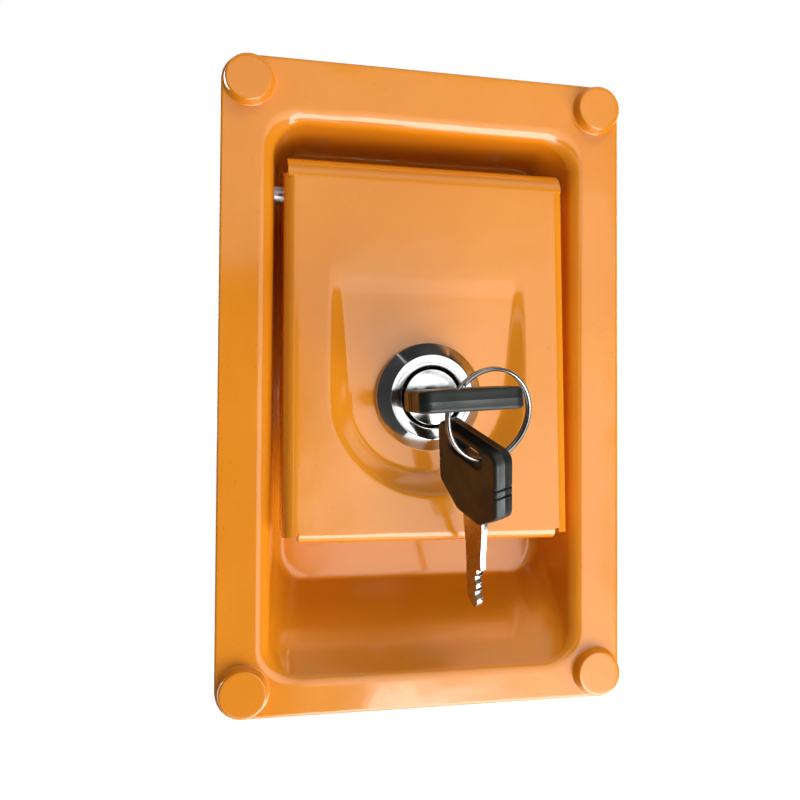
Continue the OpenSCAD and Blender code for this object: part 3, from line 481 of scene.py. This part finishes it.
side_z = np.concatenate([[side_low], face_z, [side_high]])
ear_turn = np.linspace(math.asin((side_high - pin_z) / ear_r), math.pi / 2, 9)[1:]
ear_z = np.concatenate([side_z, pin_z + ear_r * np.sin(ear_turn)])
out, back = bend(side_bend)
for side in (-1, 1):
    z, x = np.meshgrid(side_z, side * (face_half_w + out), indexing="ij")
    y = np.broadcast_to(face_y + back, z.shape)
    paddle_parts.append(grid_part(np.stack([x, y, z], -1)))
    share, z = np.meshgrid(np.linspace(0, 1, 9), ear_z)
    y = flap_start(z) + (flap_end(z) - flap_start(z)) * share
    paddle_parts.append(grid_part(np.stack([np.full_like(y, side * paddle_half_w), y, z], -1)))

top_half_w, bottom_half_w = paddle_half_w - top_notch, paddle_half_w - bottom_notch
top_x = np.concatenate([[-top_half_w], face_x, [top_half_w]])
bottom_x = face_x[np.abs(face_x) <= bottom_half_w + slack]
for up, radius, flap, edge_z, columns in ((1, top_bend, top_flap, face_top, top_x),
                                          (-1, bottom_bend, bottom_flap, face_bottom, bottom_x)):
    out, back = bend(radius)
    out = np.append(out, [radius, radius])
    back = np.append(back, [(radius + flap) / 2, flap])
    x, z = np.meshgrid(columns, edge_z + up * out)
    y = np.broadcast_to((face_y + back)[:, None], x.shape)
    paddle_parts.append(grid_part(np.stack([x, y, z], -1)))

paddle_parts = [(leaned(points), faces) for points, faces in paddle_parts]
paddle_mesh = build_mesh("paddle_sheet", paddle_parts, 60)
point_forward(paddle_mesh)
paddle_piece = place("paddle_sheet", paddle_mesh, enamel, "paddle", "orange", "paddle")
wall = paddle_piece.modifiers.new("wall", "SOLIDIFY")
wall.thickness, wall.offset, wall.use_even_offset = paddle_sheet * MM, -1, True
soften(paddle_piece, paddle_edge, 50)

# Hinge pin, clip and spring: a turned steel pin through both walls of the pan, with a head on the
# right and a pressed clip in a groove on the left. A torsion spring of music wire is wound round
# its middle.
pin_low, pin_high = node_box("hinge_pin")
clip_low, clip_high = node_box("hinge_pin_clip")
pin_r, pin_end_chamfer, groove_r = 2.5, 0.4, 2.0
pin_head_r, pin_head_t, pin_head_chamfer = 4.0, 1.5, 0.5


def turned_steel():
    """Turned steel: fine rings across the axis and a slight oil film."""
    material, tree, shader = new_finish("turned_steel", {"Metallic": 1.0})
    film = spread(tree, noise(tree, 90, 4), 0, 1)
    colour = blend_colours(tree, film, (0.35, 0.35, 0.343), (0.50, 0.50, 0.49))
    tree.links.new(colour, shader.inputs["Base Color"])
    tree.links.new(spread(tree, noise(tree, 260, 4), 0.20, 0.36), shader.inputs["Roughness"])
    rings = noise(tree, 1500, 1, (1, 0.05, 0.05))
    tree.links.new(add_bump(tree, rings, 0.01), shader.inputs["Normal"])
    return material


steel = turned_steel()
pin_grid = lathe([
    [0, pin_low[0]], [pin_r - pin_end_chamfer, pin_low[0]], [pin_r, pin_low[0] + pin_end_chamfer],
    [pin_r, clip_low[0]], [groove_r, clip_low[0]], [groove_r, clip_high[0]], [pin_r, clip_high[0]],
    [pin_r, pin_high[0] - pin_head_t], [pin_head_r, pin_high[0] - pin_head_t],
    [pin_head_r, pin_high[0] - pin_head_chamfer],
    [pin_head_r - pin_head_chamfer, pin_high[0]], [0, pin_high[0]]], 48)
pin_grid = np.stack([pin_grid[..., 2], pin_y + pin_grid[..., 0], pin_z + pin_grid[..., 1]], -1)
place("hinge_pin_turned", build_mesh("hinge_pin", [grid_part(pin_grid, False, True)]), steel,
      "frame", "steel", "hinge_pin")


def finished(node, name, material, body, slot, edge=0.15, rounds=()):
    """A copy of a CAD node's mesh, merged and cleared of needless edges, with its corners broken.
    First rounds turns whole edges: each is a test of an edge's two ends, in mm, and a radius."""
    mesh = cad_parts[node].data.copy()
    work = bmesh.new()
    work.from_mesh(mesh)
    bmesh.ops.remove_doubles(work, verts=work.verts, dist=weld * MM)
    bmesh.ops.dissolve_limit(work, angle_limit=math.radians(1), verts=work.verts, edges=work.edges)
    for wanted, radius in rounds:
        chosen = [e for e in work.edges if wanted(*(np.array(end.co) / MM for end in e.verts))]
        bmesh.ops.bevel(work, geom=chosen, offset=radius * MM, segments=6, profile=0.5,
                        affect="EDGES")
    work.to_mesh(mesh)
    work.free()
    mesh.shade_smooth()
    mesh.set_sharp_from_angle(angle=math.radians(crease))
    piece = place(name, mesh, material, body, slot, node)
    soften(piece, edge, crease)


def oiled_steel():
    """Blackened spring steel: dark, even, with a thin oil film."""
    material, tree, shader = new_finish("oiled_steel", {"Metallic": 1.0})
    film = spread(tree, noise(tree, 200, 4), 0, 1)
    colour = blend_colours(tree, film, (0.07, 0.075, 0.085), (0.14, 0.14, 0.15))
    tree.links.new(colour, shader.inputs["Base Color"])
    tree.links.new(spread(tree, noise(tree, 400, 3), 0.28, 0.45), shader.inputs["Roughness"])
    return material


dark_steel = oiled_steel()
finished("hinge_pin_clip", "hinge_clip_pressed", dark_steel, "frame", "dark_steel", 0.1)

hinge_wire, hinge_turns, hinge_coil_x, coil_play = 1.2, 5, 6.0, 0.5
hinge_coil_r, hinge_pitch = pin_r + coil_play + hinge_wire / 2, 1.15 * hinge_wire
floor_leg, paddle_leg, leg_aside, leg_lift, leg_play = 13.0, 9.1, 0.3, 0.3, 0.02
dome_h, collar_h, collar_r = 0.25, 0.15, 0.75  # a wire's end, in shares of its radius


def wire_part(path, side, radius, sides=14):
    """A round wire along a path: circles square to it, c cos a + t sin a, where c is the side
    direction made square to the path and t is square to both. A low dome closes each end."""
    path = np.asarray(path, float)
    along = np.gradient(path, axis=0)
    along /= np.linalg.norm(along, axis=1, keepdims=True)
    across = np.asarray(side, float) - (along @ np.asarray(side, float))[:, None] * along
    across /= np.linalg.norm(across, axis=1, keepdims=True)
    third = np.cross(along, across)
    a = np.linspace(0, 2 * math.pi, sides, endpoint=False)[:, None]
    rings = path[:, None] + radius * (np.cos(a) * across[:, None] + np.sin(a) * third[:, None])
    tips, collars = [], []
    for end, outwards in ((0, -radius * along[0]), (-1, radius * along[-1])):
        tips.append(np.repeat((path[end] + dome_h * outwards)[None, None], sides, 1))
        collar = path[end] + collar_h * outwards + collar_r * (rings[end] - path[end])
        collars.append(collar[None])
    grid = np.concatenate([tips[0], collars[0], rings, collars[1], tips[1]])
    return grid_part(grid, False, True)


def coil_path(along_x, turns, radius, y, z):
    """A coil round an axis along x, at y + r cos a and z + r sin a, with a 2 pi for each turn."""
    a = 2 * math.pi * turns
    return np.column_stack([along_x, y + radius * np.cos(a), z + radius * np.sin(a)])


floor_leg_y = floor_front - hinge_wire / 2 - leg_play
paddle_leg_y = face_y + paddle_sheet + hinge_wire / 2 + leg_lift
turns = np.linspace(0, hinge_turns + 0.5, 50 * hinge_turns + 26)
coil = coil_path(hinge_coil_x + hinge_pitch * turns, turns, hinge_coil_r, pin_y, pin_z)
floor_leg_x, paddle_leg_x = coil[0, 0] - leg_aside, coil[-1, 0] + leg_aside
hinge_path = np.concatenate([
    [[floor_leg_x, floor_leg_y, pin_z - floor_leg],
     [floor_leg_x, floor_leg_y, pin_z - floor_leg / 2]],
    coil,
    [[paddle_leg_x, paddle_leg_y, pin_z - paddle_leg],
     [paddle_leg_x, paddle_leg_y - leg_lift, pin_z - floor_leg]]])
hinge_spring = build_mesh("hinge_spring", [wire_part(hinge_path, (1, 0, 0), hinge_wire / 2)], 60)
place("hinge_spring_wound", hinge_spring, dark_steel, "frame", "dark_steel", "hinge_spring")

# Release arm: a flat steel arm, zinc plated, welded to the back of the paddle. It loops round the
# pin and reaches through the floor of the pan into the slam bolt's slot.
finished("release_arm", "release_arm_plate", zinc, "paddle", "zinc", 0.3)

# Slam bolt with its guide, rivets and spring: a zinc-plated bolt with a bevelled nose slides in a
# folded channel that four rivets hold to the back of the pan. A coil spring pushes it out from the
# channel's tab.
finished("slam_bolt", "slam_bolt_body", zinc, "slam_bolt", "steel", 0.4)
guide_low, guide_high = node_box("bolt_guide")
fold_r, lip_corner_r, shortest_fold, near = 2.0, 2.0, 30.0, 0.01


def on_fold(a, b):
    """Whether an edge is one of the two along which the channel's web turns into its sides."""
    return min(a[1], b[1]) > guide_high[1] - near and abs(a[0] - b[0]) > shortest_fold


def on_lip_corner(a, b):
    """Whether both ends of an edge lie at a corner of the channel's box, seen from behind."""
    middle, half = (guide_low + guide_high) / 2, (guide_high - guide_low) / 2
    return all(abs(abs(end[i] - middle[i]) - half[i]) < near for end in (a, b) for i in (0, 2))


finished("bolt_guide", "bolt_guide_channel", zinc, "frame", "zinc", 0.2,
         ((on_fold, fold_r), (on_lip_corner, lip_corner_r)))
rivet_zinc = zinc_plate("rivet_zinc", (0.66, 0.66, 0.64))
finished("guide_rivets", "guide_rivets_set", rivet_zinc, "frame", "steel", 0.2)

spring_low, spring_high = node_box("bolt_spring")
bolt_wire, bolt_turns = 0.9, 8
bolt_coil_r = (spring_high[2] - spring_low[2] - bolt_wire) / 2
bolt_coil_y, bolt_coil_z = (spring_low[1:] + spring_high[1:]) / 2
first_x, last_x = spring_low[0] + bolt_wire / 2, spring_high[0] - bolt_wire / 2
turns = np.linspace(0, bolt_turns, 48 * bolt_turns + 1)
bolt_coil_x = np.interp(turns, [0, 1, bolt_turns - 1, bolt_turns],
                        [first_x, first_x + bolt_wire, last_x - bolt_wire, last_x])
coil = coil_path(bolt_coil_x, turns, bolt_coil_r, bolt_coil_y, bolt_coil_z)
bolt_spring = build_mesh("bolt_spring", [wire_part(coil, (1, 0, 0), bolt_wire / 2)], 60)
place("bolt_spring_wound", bolt_spring, dark_steel, "frame", "dark_steel", "bolt_spring")

# Lock housing, washer and nut: a die-cast zinc housing, chromed, with a conical bezel in front of
# the dish and a threaded barrel through it. A sheet washer and a hexagon nut clamp it from behind.
lock_tilt = math.radians(90) + dish_slope
pad_y = face_y + (dish_meet - lock_z) * math.tan(dish_slope)
barrel_r, barrel_l, barrel_chamfer, plug_r = 11.0, 22.6, 0.5, 7.7
bezel_r, bezel_h, bezel_side, bezel_face_r = 14.3, 5.0, 1.7, 10.95
bezel_foot_round, cone_round, lip_round, lip_r = 0.3, 0.4, 0.35, plug_r + 0.8
bore_r, gap_r, gap_depth, gap_step = plug_r + 0.05, plug_r + 0.42, 2.2, 0.1
thread_pitch, thread_depth, thread_fade, thread_under = 1.5, 0.45, 1.2, 0.02
thread_low, thread_high = 0.6 - barrel_l, -2.8
seat_h = -0.01
# a ring of painted shade in the gap round the plug: its inner radius, outer radius and soft edge
gap_shade_in, gap_shade_out, gap_shade_edge = 7.35, 8.15, 0.2


def on_lock(points):
    """Points of the lock's own frame, z out along its axis, carried into the latch's frame."""
    x, y, z = points[..., 0], points[..., 1], points[..., 2]
    c, s = math.cos(lock_tilt), math.sin(lock_tilt)
    return leaned(np.stack([x, pad_y + y * c - z * s, lock_z + y * s + z * c], -1))


def from_axis(tree):
    """Distance from the lock's axis, in metres, of a point in Object coordinates."""
    coordinates = tree.nodes.new("ShaderNodeTexCoord")
    into_lock = tree.nodes.new("ShaderNodeMapping")
    into_lock.vector_type = "TEXTURE"
    into_lock.inputs["Location"].default_value = on_lock(np.zeros(3)) * MM
    into_lock.inputs["Rotation"].default_value = (lock_tilt - lean, 0, 0)
    flat = tree.nodes.new("ShaderNodeVectorMath")
    flat.operation = "MULTIPLY"
    flat.inputs[1].default_value = (1, 1, 0)
    length = tree.nodes.new("ShaderNodeVectorMath")
    length.operation = "LENGTH"
    tree.links.new(coordinates.outputs["Object"], into_lock.inputs["Vector"])
    tree.links.new(into_lock.outputs["Vector"], flat.inputs[0])
    tree.links.new(flat.outputs["Vector"], length.inputs[0])
    return length.outputs["Value"]


def join_values(tree, operation, first, second):
    """Two values put together by a Math node."""
    node = tree.nodes.new("ShaderNodeMath")
    node.operation = operation
    tree.links.new(first, node.inputs[0])
    tree.links.new(second, node.inputs[1])
    return node.outputs[0]


def chrome_plate():
    """Polished chrome: a bright mirror with slight waves in it, a few dull wipes, and a dark ring
    of painted shade in the gap between the plug and its housing."""
    material, tree, shader = new_finish("chrome_plate", {"Metallic": 1.0})
    wipes = spread(tree, noise(tree, 150, 4), 0, 1)
    colour = blend_colours(tree, wipes, (0.58, 0.60, 0.60), (0.72, 0.73, 0.73))
    radius = from_axis(tree)
    # painted shade: a dark ring on the chrome round the plug, where the gap between plug and
    # housing lies in shadow
    past_in = spread(tree, radius, 0, 1, gap_shade_in * MM, (gap_shade_in + gap_shade_edge) * MM)
    before_out = spread(tree, radius, 1, 0, gap_shade_out * MM, (gap_shade_out + gap_shade_edge) * MM)
    gap_shade = join_values(tree, "MULTIPLY", past_in, before_out)
    colour = blend_colours(tree, gap_shade, colour, (0.02, 0.02, 0.018))
    tree.links.new(colour, shader.inputs["Base Color"])
    tree.links.new(spread(tree, noise(tree, 220, 4), 0.06, 0.16), shader.inputs["Roughness"])
    tree.links.new(add_bump(tree, noise(tree, 130, 2), 0.03), shader.inputs["Normal"])
    return material


def barrel_thread():
    """The barrel's thread: the radius drops by a share 1 - |2 p - 1| of the thread's depth, where
    the phase p is the height over the pitch less the angle's share of a turn. It fades at both
    ends."""
    around, climb = np.linspace(0, 2 * math.pi, 64, endpoint=False), np.linspace(0, 1, 200)
    theta, h = np.meshgrid(around, thread_low + (thread_high - thread_low) * climb)
    phase = (h / thread_pitch - theta / (2 * math.pi)) % 1
    fade = ease((h - thread_low) / thread_fade) * ease((thread_high - h) / thread_fade)
    r = barrel_r - thread_under - thread_depth * fade * (1 - np.abs(2 * phase - 1))
    return np.stack([r * np.cos(theta), r * np.sin(theta), h], -1)


chrome = chrome_plate()
barrel_end = lathe([[bore_r, -barrel_l], [barrel_r - barrel_chamfer, -barrel_l],
                    [barrel_r, barrel_chamfer - barrel_l]])
bezel = lathe(np.concatenate([
    [[barrel_r, seat_h], [bezel_r - bezel_foot_round, seat_h]],
    arc(bezel_r - bezel_foot_round, bezel_foot_round, bezel_foot_round, -80, 0, 4),
    [[bezel_r, bezel_side]],
    arc(bezel_r - cone_round, bezel_side, cone_round, 10, 50, 4),
    arc(bezel_face_r, bezel_h - lip_round, lip_round, 45, 90, 5),
    arc(lip_r, bezel_h - lip_round, lip_round, 90, 180, 5),
    [[gap_r, bezel_h - gap_depth], [bore_r, bezel_h - gap_depth - gap_step]]]))
body_grid = on_lock(np.concatenate([barrel_end, barrel_thread(), bezel]))
place("lock_housing", build_mesh("lock_housing", [grid_part(body_grid, True, True)]), chrome,
      "paddle", "chrome", "lock_body")
finished("lock_washer", "lock_washer_plate", zinc, "paddle", "zinc", 0.12)
finished("lock_nut", "lock_nut_hexagon", zinc, "paddle", "zinc", 0.45)

# Plug with its wafers, cam, washer and screw: the plug turns in the housing, chromed in front, with
# brass wafers in its slots. A zinc-plated cam sits on its square tail under a washer and a
# cross-slotted screw.


def wafer_brass():
    """Stamped brass: warm yellow with brown tarnish in patches."""
    material, tree, shader = new_finish("wafer_brass", {"Metallic": 1.0})
    tarnish = spread(tree, noise(tree, 260, 4), 0, 1)
    colour = blend_colours(tree, tarnish, (0.55, 0.36, 0.12), (0.78, 0.57, 0.22))
    tree.links.new(colour, shader.inputs["Base Color"])
    tree.links.new(spread(tree, noise(tree, 500, 3), 0.25, 0.4), shader.inputs["Roughness"])
    return material


finished("plug", "plug_turned", chrome, "plug", "chrome")
finished("wafer_tumblers", "wafers_stamped", wafer_brass(), "plug", "brass", 0.08)
finished("cam", "cam_plate", zinc, "plug", "zinc", 0.3)
finished("cam_washer", "cam_washer_plate", steel, "plug", "steel", 0.1)
finished("cam_screw", "cam_screw_turned", rivet_zinc, "plug", "steel", 0.12)

# Keys and their ring: two keys cut alike, each a nickel-plated steel blade moulded into a black
# plastic bow, with a slot for the ring and two fine grooves in each edge. One stands in the plug,
# and the other hangs from the split ring of steel wire.
bow_w, bow_t, bow_l, bow_straight, bow_root_w = 24.6, 5.0, 22.4, 16.8, 9.4
bow_corner, bow_round, bow_mould_line = 2.8, 0.9, 0.16
bow_slot_w, bow_slot_l, bow_slot_z, bow_slot_round = 4.6, 14.0, -4.2, 0.4
groove_z, groove_w, groove_depth, groove_wall, groove_reach = (-9.0, -11.0), 0.7, 0.45, 1.6, 1.5
key_1_end, key_1_roll = (0, 0, 41.6), (0, 0, 3.8)
key_2_end, key_2_roll = (3.87, -8.31, 29.03), (-31.8, -62.7, -45.3)


def black_moulding():
    """Moulded black plastic: near black, satin, with a fine spark-eroded grain and worn gloss."""
    material, tree, shader = new_finish("black_moulding", {
        "Metallic": 0.0, "Specular IOR Level": 0.42})
    shade = spread(tree, noise(tree, 140, 4), 0, 1)
    colour = blend_colours(tree, shade, (0.009, 0.012, 0.010), (0.016, 0.020, 0.017))
    tree.links.new(colour, shader.inputs["Base Color"])
    tree.links.new(spread(tree, noise(tree, 200, 4), 0.30, 0.48), shader.inputs["Roughness"])
    tree.links.new(add_bump(tree, noise(tree, 2600, 2), 0.02), shader.inputs["Normal"])
    return material


def nickel_plate():
    """Nickel-plated key steel: warm grey, milled smooth on its faces, with fine scratches."""
    material, tree, shader = new_finish("nickel_plate", {"Metallic": 1.0})
    wear = spread(tree, noise(tree, 200, 5), 0, 1)
    colour = blend_colours(tree, wear, (0.48, 0.45, 0.40), (0.56, 0.53, 0.48))
    tree.links.new(colour, shader.inputs["Base Color"])
    tree.links.new(spread(tree, noise(tree, 350, 4), 0.16, 0.32), shader.inputs["Roughness"])
    scratches = noise(tree, 900, 2, (1, 1, 0.1))
    tree.links.new(add_bump(tree, scratches, 0.003), shader.inputs["Normal"])
    return material


def bow_outline(inset, count=480):
    """The bow's outline in x and z, moved inwards, at equal steps along it. Each corner is an arc
    swept between its two tangent points, (sin((1 - t) w) start + sin(t w) end) / sin w, and the
    fine grooves are cut into the long straight edges."""
    half_w, half_root = bow_w / 2, bow_root_w / 2
    corners = np.array([[half_w, 0], [-half_w, 0], [-half_w, -bow_straight],
                        [-half_root, -bow_l], [half_root, -bow_l], [half_w, -bow_straight]])
    t = np.linspace(0, 1, 17)[:, None]
    runs = []
    for before, corner, after in zip(np.roll(corners, 1, 0), corners, np.roll(corners, -1, 0)):
        a, b = before - corner, after - corner
        a, b = a / np.linalg.norm(a), b / np.linalg.norm(b)
        half = math.acos(np.clip(a @ b, -1, 1)) / 2
        middle = corner + (a + b) / np.linalg.norm(a + b) * bow_corner / math.sin(half)
        start = corner + a * bow_corner / math.tan(half) - middle
        end = corner + b * bow_corner / math.tan(half) - middle
        w = math.pi - 2 * half
        swept = (np.sin((1 - t) * w) * start + np.sin(t * w) * end) / math.sin(w)
        runs.append(middle + swept * (bow_corner - inset) / bow_corner)
    loop = np.concatenate(runs + [runs[0][:1]])
    length = np.append(0, np.cumsum(np.linalg.norm(np.diff(loop, axis=0), axis=1)))
    at = np.linspace(0, length[-1], count, endpoint=False)
    x, z = np.interp(at, length, loop[:, 0]), np.interp(at, length, loop[:, 1])
    on_edge = np.abs(x) > half_w - groove_reach
    for middle_z in groove_z:
        off_middle = np.abs(z - middle_z) / (groove_w / 2)
        cut = groove_depth * np.clip(groove_wall * (1 - off_middle), 0, 1)
        x -= np.where(on_edge, np.sign(x) * cut, 0)
    return np.column_stack([x, z])


def slot_outline(targets, grown):
    """Points of the slot's stadium outline, grown outwards, in the directions of other points seen
    from its middle: r / |sin| on its flats, and c + sqrt(c^2 - run^2 + r^2) on its round ends,
    where c is |cos| times the run from the slot's middle to an end's centre."""
    middle = np.array([0, bow_slot_z])
    direction = targets - middle
    direction = direction / np.linalg.norm(direction, axis=1, keepdims=True)
    r, run = bow_slot_w / 2 + grown, (bow_slot_l - bow_slot_w) / 2
    flat = r / np.maximum(np.abs(direction[:, 1]), 1e-9)
    on_flat = flat * np.abs(direction[:, 0]) <= run
    c = np.abs(direction[:, 0]) * run
    round_end = c + np.sqrt(np.maximum(0, c ** 2 - run ** 2 + r ** 2))
    return middle + direction * np.where(on_flat, flat, round_end)[:, None]


def bow_grid():
    """A ring-shaped skin: up the slot's wall, over its rounded rim, across the face, round the
    outer edge, across the back and to the slot again. Rims and edges are quarter circles."""
    outer, rim = bow_outline(0.0), bow_outline(bow_round)
    inner = slot_outline(outer, bow_slot_round)
    quarter = np.linspace(0, math.pi / 2, 6)
    half_t = bow_t / 2
    rows = []
    for side in (1, -1):
        block = [(slot_outline(outer, bow_slot_round * (1 - math.cos(a))),
                  side * (half_t - bow_slot_round * (1 - math.sin(a)))) for a in quarter]
        block += [(inner + (rim - inner) * share, side * half_t)
                  for share in (0.08, 0.35, 0.65, 0.94)]
        block += [(bow_outline(bow_round * (1 - math.cos(a))),
                   side * (half_t - bow_round * (1 - math.sin(a)))) for a in quarter[::-1]]
        block += [(outer, side * bow_mould_line), (bow_outline(-bow_mould_line / 2), side * 0.01)]
        rows += block if side > 0 else block[::-1]
    return np.stack([np.column_stack([p[:, 0], np.full(len(p), h), p[:, 1]]) for p, h in rows])


def turn_matrix(degrees):
    """Rotation about x, then y, then z."""
    x, y, z = (math.radians(v) for v in degrees)
    turned = Matrix.Rotation(z, 3, "Z") @ Matrix.Rotation(y, 3, "Y") @ Matrix.Rotation(x, 3, "X")
    return np.array(turned)


plastic = black_moulding()
nickel = nickel_plate()
bow = bow_grid()
for key, end, roll in (("key_1", key_1_end, key_1_roll), ("key_2", key_2_end, key_2_roll)):
    bow_points = on_lock(bow @ turn_matrix(roll).T + end)
    place(f"{key}_bow_moulded", build_mesh(f"{key}_bow", [grid_part(bow_points, True, True)]),
          plastic, key, "black_plastic", f"{key}_bow")
for key in ("key_1", "key_2"):
    finished(f"{key}_blade", f"{key}_blade_cut", nickel, key, "key_steel", 0.12)

ring_r, ring_wire, ring_turns, ring_start, ring_open = 10.8, 0.9, 2, 0.42, 3
ring_pitch, ring_end, ring_roll = 1.06 * ring_wire, (5.94, -3.46, 34.15), (11.1, 14.8, 0)
turns = np.linspace(0, ring_turns, 96 * ring_turns + 1)[:-ring_open]
ring_angle = 2 * math.pi * (turns + ring_start)
ring_path = np.column_stack([ring_r * np.cos(ring_angle), ring_r * np.sin(ring_angle),
                             (turns - ring_turns / 2) * ring_pitch])
ring_points, ring_faces = wire_part(ring_path, (0, 0, 1), ring_wire / 2, 18)
ring_part = (on_lock(ring_points @ turn_matrix(ring_roll).T + ring_end), ring_faces)
place("key_ring_split", build_mesh("key_ring", [ring_part], 60), steel, "ring", "steel", "key_ring")

# Room: a plain white room with a pale floor far under the latch, soft boxes round it, and black
# cards that its gloss shows. The camera stands where the photograph was taken, solved from the
# flange's corners.
scene = bpy.context.scene
scene.view_settings.view_transform = "Standard"
camera_at = (-58.44, -227.06, -9.70)
camera_right, camera_down = (0.97552, -0.21985, 0.00579), (0.01134, 0.02397, -0.99965)
camera_forward = (0.21963, 0.97524, 0.02588)
floor_drop, floor_half, floor_glow = 640.0, 3000.0, 0.96
room_level = 0.17


def stand_at(thing, at, right, up, back):
    """Puts a camera or a lamp at a place, in mm, with its own x, y and z along three directions."""
    turned = np.column_stack([right, up, back])
    thing.matrix_world = Matrix.Translation(np.array(at) * MM) @ Matrix(turned.tolist()).to_4x4()
    scene.collection.objects.link(thing)


def seen_directly(tree):
    """1 for what the camera, mirrors and clear things see, and 0 for light that falls on things."""
    path = tree.nodes.new("ShaderNodeLightPath")
    seen = path.outputs["Is Camera Ray"]
    for ray in ("Is Glossy Ray", "Is Transmission Ray"):
        seen = join_values(tree, "MAXIMUM", seen, path.outputs[ray])
    return seen


def pale_floor():
    """Plain pale paint that the camera and mirrors see as white where no shadow lies on it."""
    material, tree, shader = new_finish("pale_floor", {
        "Roughness": 0.9, "Specular IOR Level": 0.1, "Base Color": (0.8, 0.8, 0.8, 1),
        "Emission Color": (1, 1, 1, 1)})
    glow = spread(tree, seen_directly(tree), 0.0, floor_glow, 0, 1)
    tree.links.new(glow, shader.inputs["Emission Strength"])
    return material


def white_walls():
    """A world that lights the latch at a plain level and that looks white, also in mirrors."""
    world = bpy.data.worlds.new("room")
    world.use_nodes = True
    tree = world.node_tree
    background = tree.nodes["Background"]
    background.inputs["Color"].default_value = (1, 1, 1, 1)
    strength = spread(tree, seen_directly(tree), room_level, 1.0, 0, 1)
    tree.links.new(strength, background.inputs["Strength"])
    return world


def stage_sheet(name, corners, material):
    """A flat sheet of the room, by its four corners in mm."""
    mesh = bpy.data.meshes.new(name)
    mesh.from_pydata((corners * MM).tolist(), [], [(0, 1, 2, 3)])
    mesh.materials.append(material)
    flat = bpy.data.objects.new(name, mesh)
    scene.collection.objects.link(flat)
    return flat


def dark_card(name, at, size, turn=0.0, tilt=0.0):
    """A black card that only reflections see, as a photographer hangs beside a shiny thing: at a
    place, with a width and height, upright unless tilted back, then turned about the vertical."""
    corners = np.array([[-1, 0, -1], [1, 0, -1], [1, 0, 1], [-1, 0, 1]])
    flat = corners * [size[0] / 2, 0, size[1] / 2]
    card = stage_sheet(name, flat @ turn_matrix((tilt, 0, turn)).T + at, black_card)
    card.visible_camera = card.visible_diffuse = False
    card.visible_shadow = card.visible_transmission = False


def soft_box(name, at, towards, size, watts):
    """A rectangular lamp at a place, facing another, in mm."""
    data = bpy.data.lights.new(name, "AREA")
    data.shape, data.energy = "RECTANGLE", watts
    data.size, data.size_y = size[0] * MM, size[1] * MM
    back = np.array(at, float) - towards
    back /= np.linalg.norm(back)
    right = np.cross((0, 0, 1), back)
    right /= np.linalg.norm(right)
    stand_at(bpy.data.objects.new(name, data), at, right, np.cross(back, right), back)


camera_data = bpy.data.cameras.new("camera")
camera_data.sensor_width, camera_data.lens, camera_data.clip_start = 36, 39.34, 0.01
camera = bpy.data.objects.new("camera", camera_data)
stand_at(camera, camera_at, camera_right, -np.array(camera_down), -np.array(camera_forward))
scene.camera = camera

floor_z = cad_box[0].z / MM - floor_drop
floor_corners = np.array([[-1, -1, 0], [1, -1, 0], [1, 1, 0], [-1, 1, 0]]) * floor_half
stage_sheet("floor", floor_corners + [0, 0, floor_z], pale_floor())
scene.world = white_walls()

black_card = new_finish("black_card", {"Base Color": (0.02, 0.02, 0.02, 1), "Roughness": 0.9})[0]
dark_card("card_head", (-50, -480, 27), (120, 185))
dark_card("card_body", (-60, -480, -150), (180, 170))
dark_card("card_foot", (-45, -480, -240), (250, 60))
dark_card("card_left", (-170, -190, -60), (600, 720), 90)
dark_card("card_right", (306, -190, 60), (600, 700), 90)
dark_card("card_over", (140, -200, 300), (600, 600), 0, 90)

soft_box("low_box", (350, -370, -500), (0, 0, 0), (920, 500), 7.6)
soft_box("top_box", (120, -300, 460), (0, 0, -40), (420, 200), 1.4)
soft_box("front_box", (170, -480, -50), (0, 0, 0), (260, 480), 0.23)
soft_box("middle_box", (160, -480, -125), (0, 0, 0), (280, 330), 0.14)
soft_box("rear_right_box", (420, 520, 240), (0, 0, 0), (400, 400), 2.6)
soft_box("rear_left_box", (-420, 520, 160), (0, 0, 0), (400, 400), 2.2)
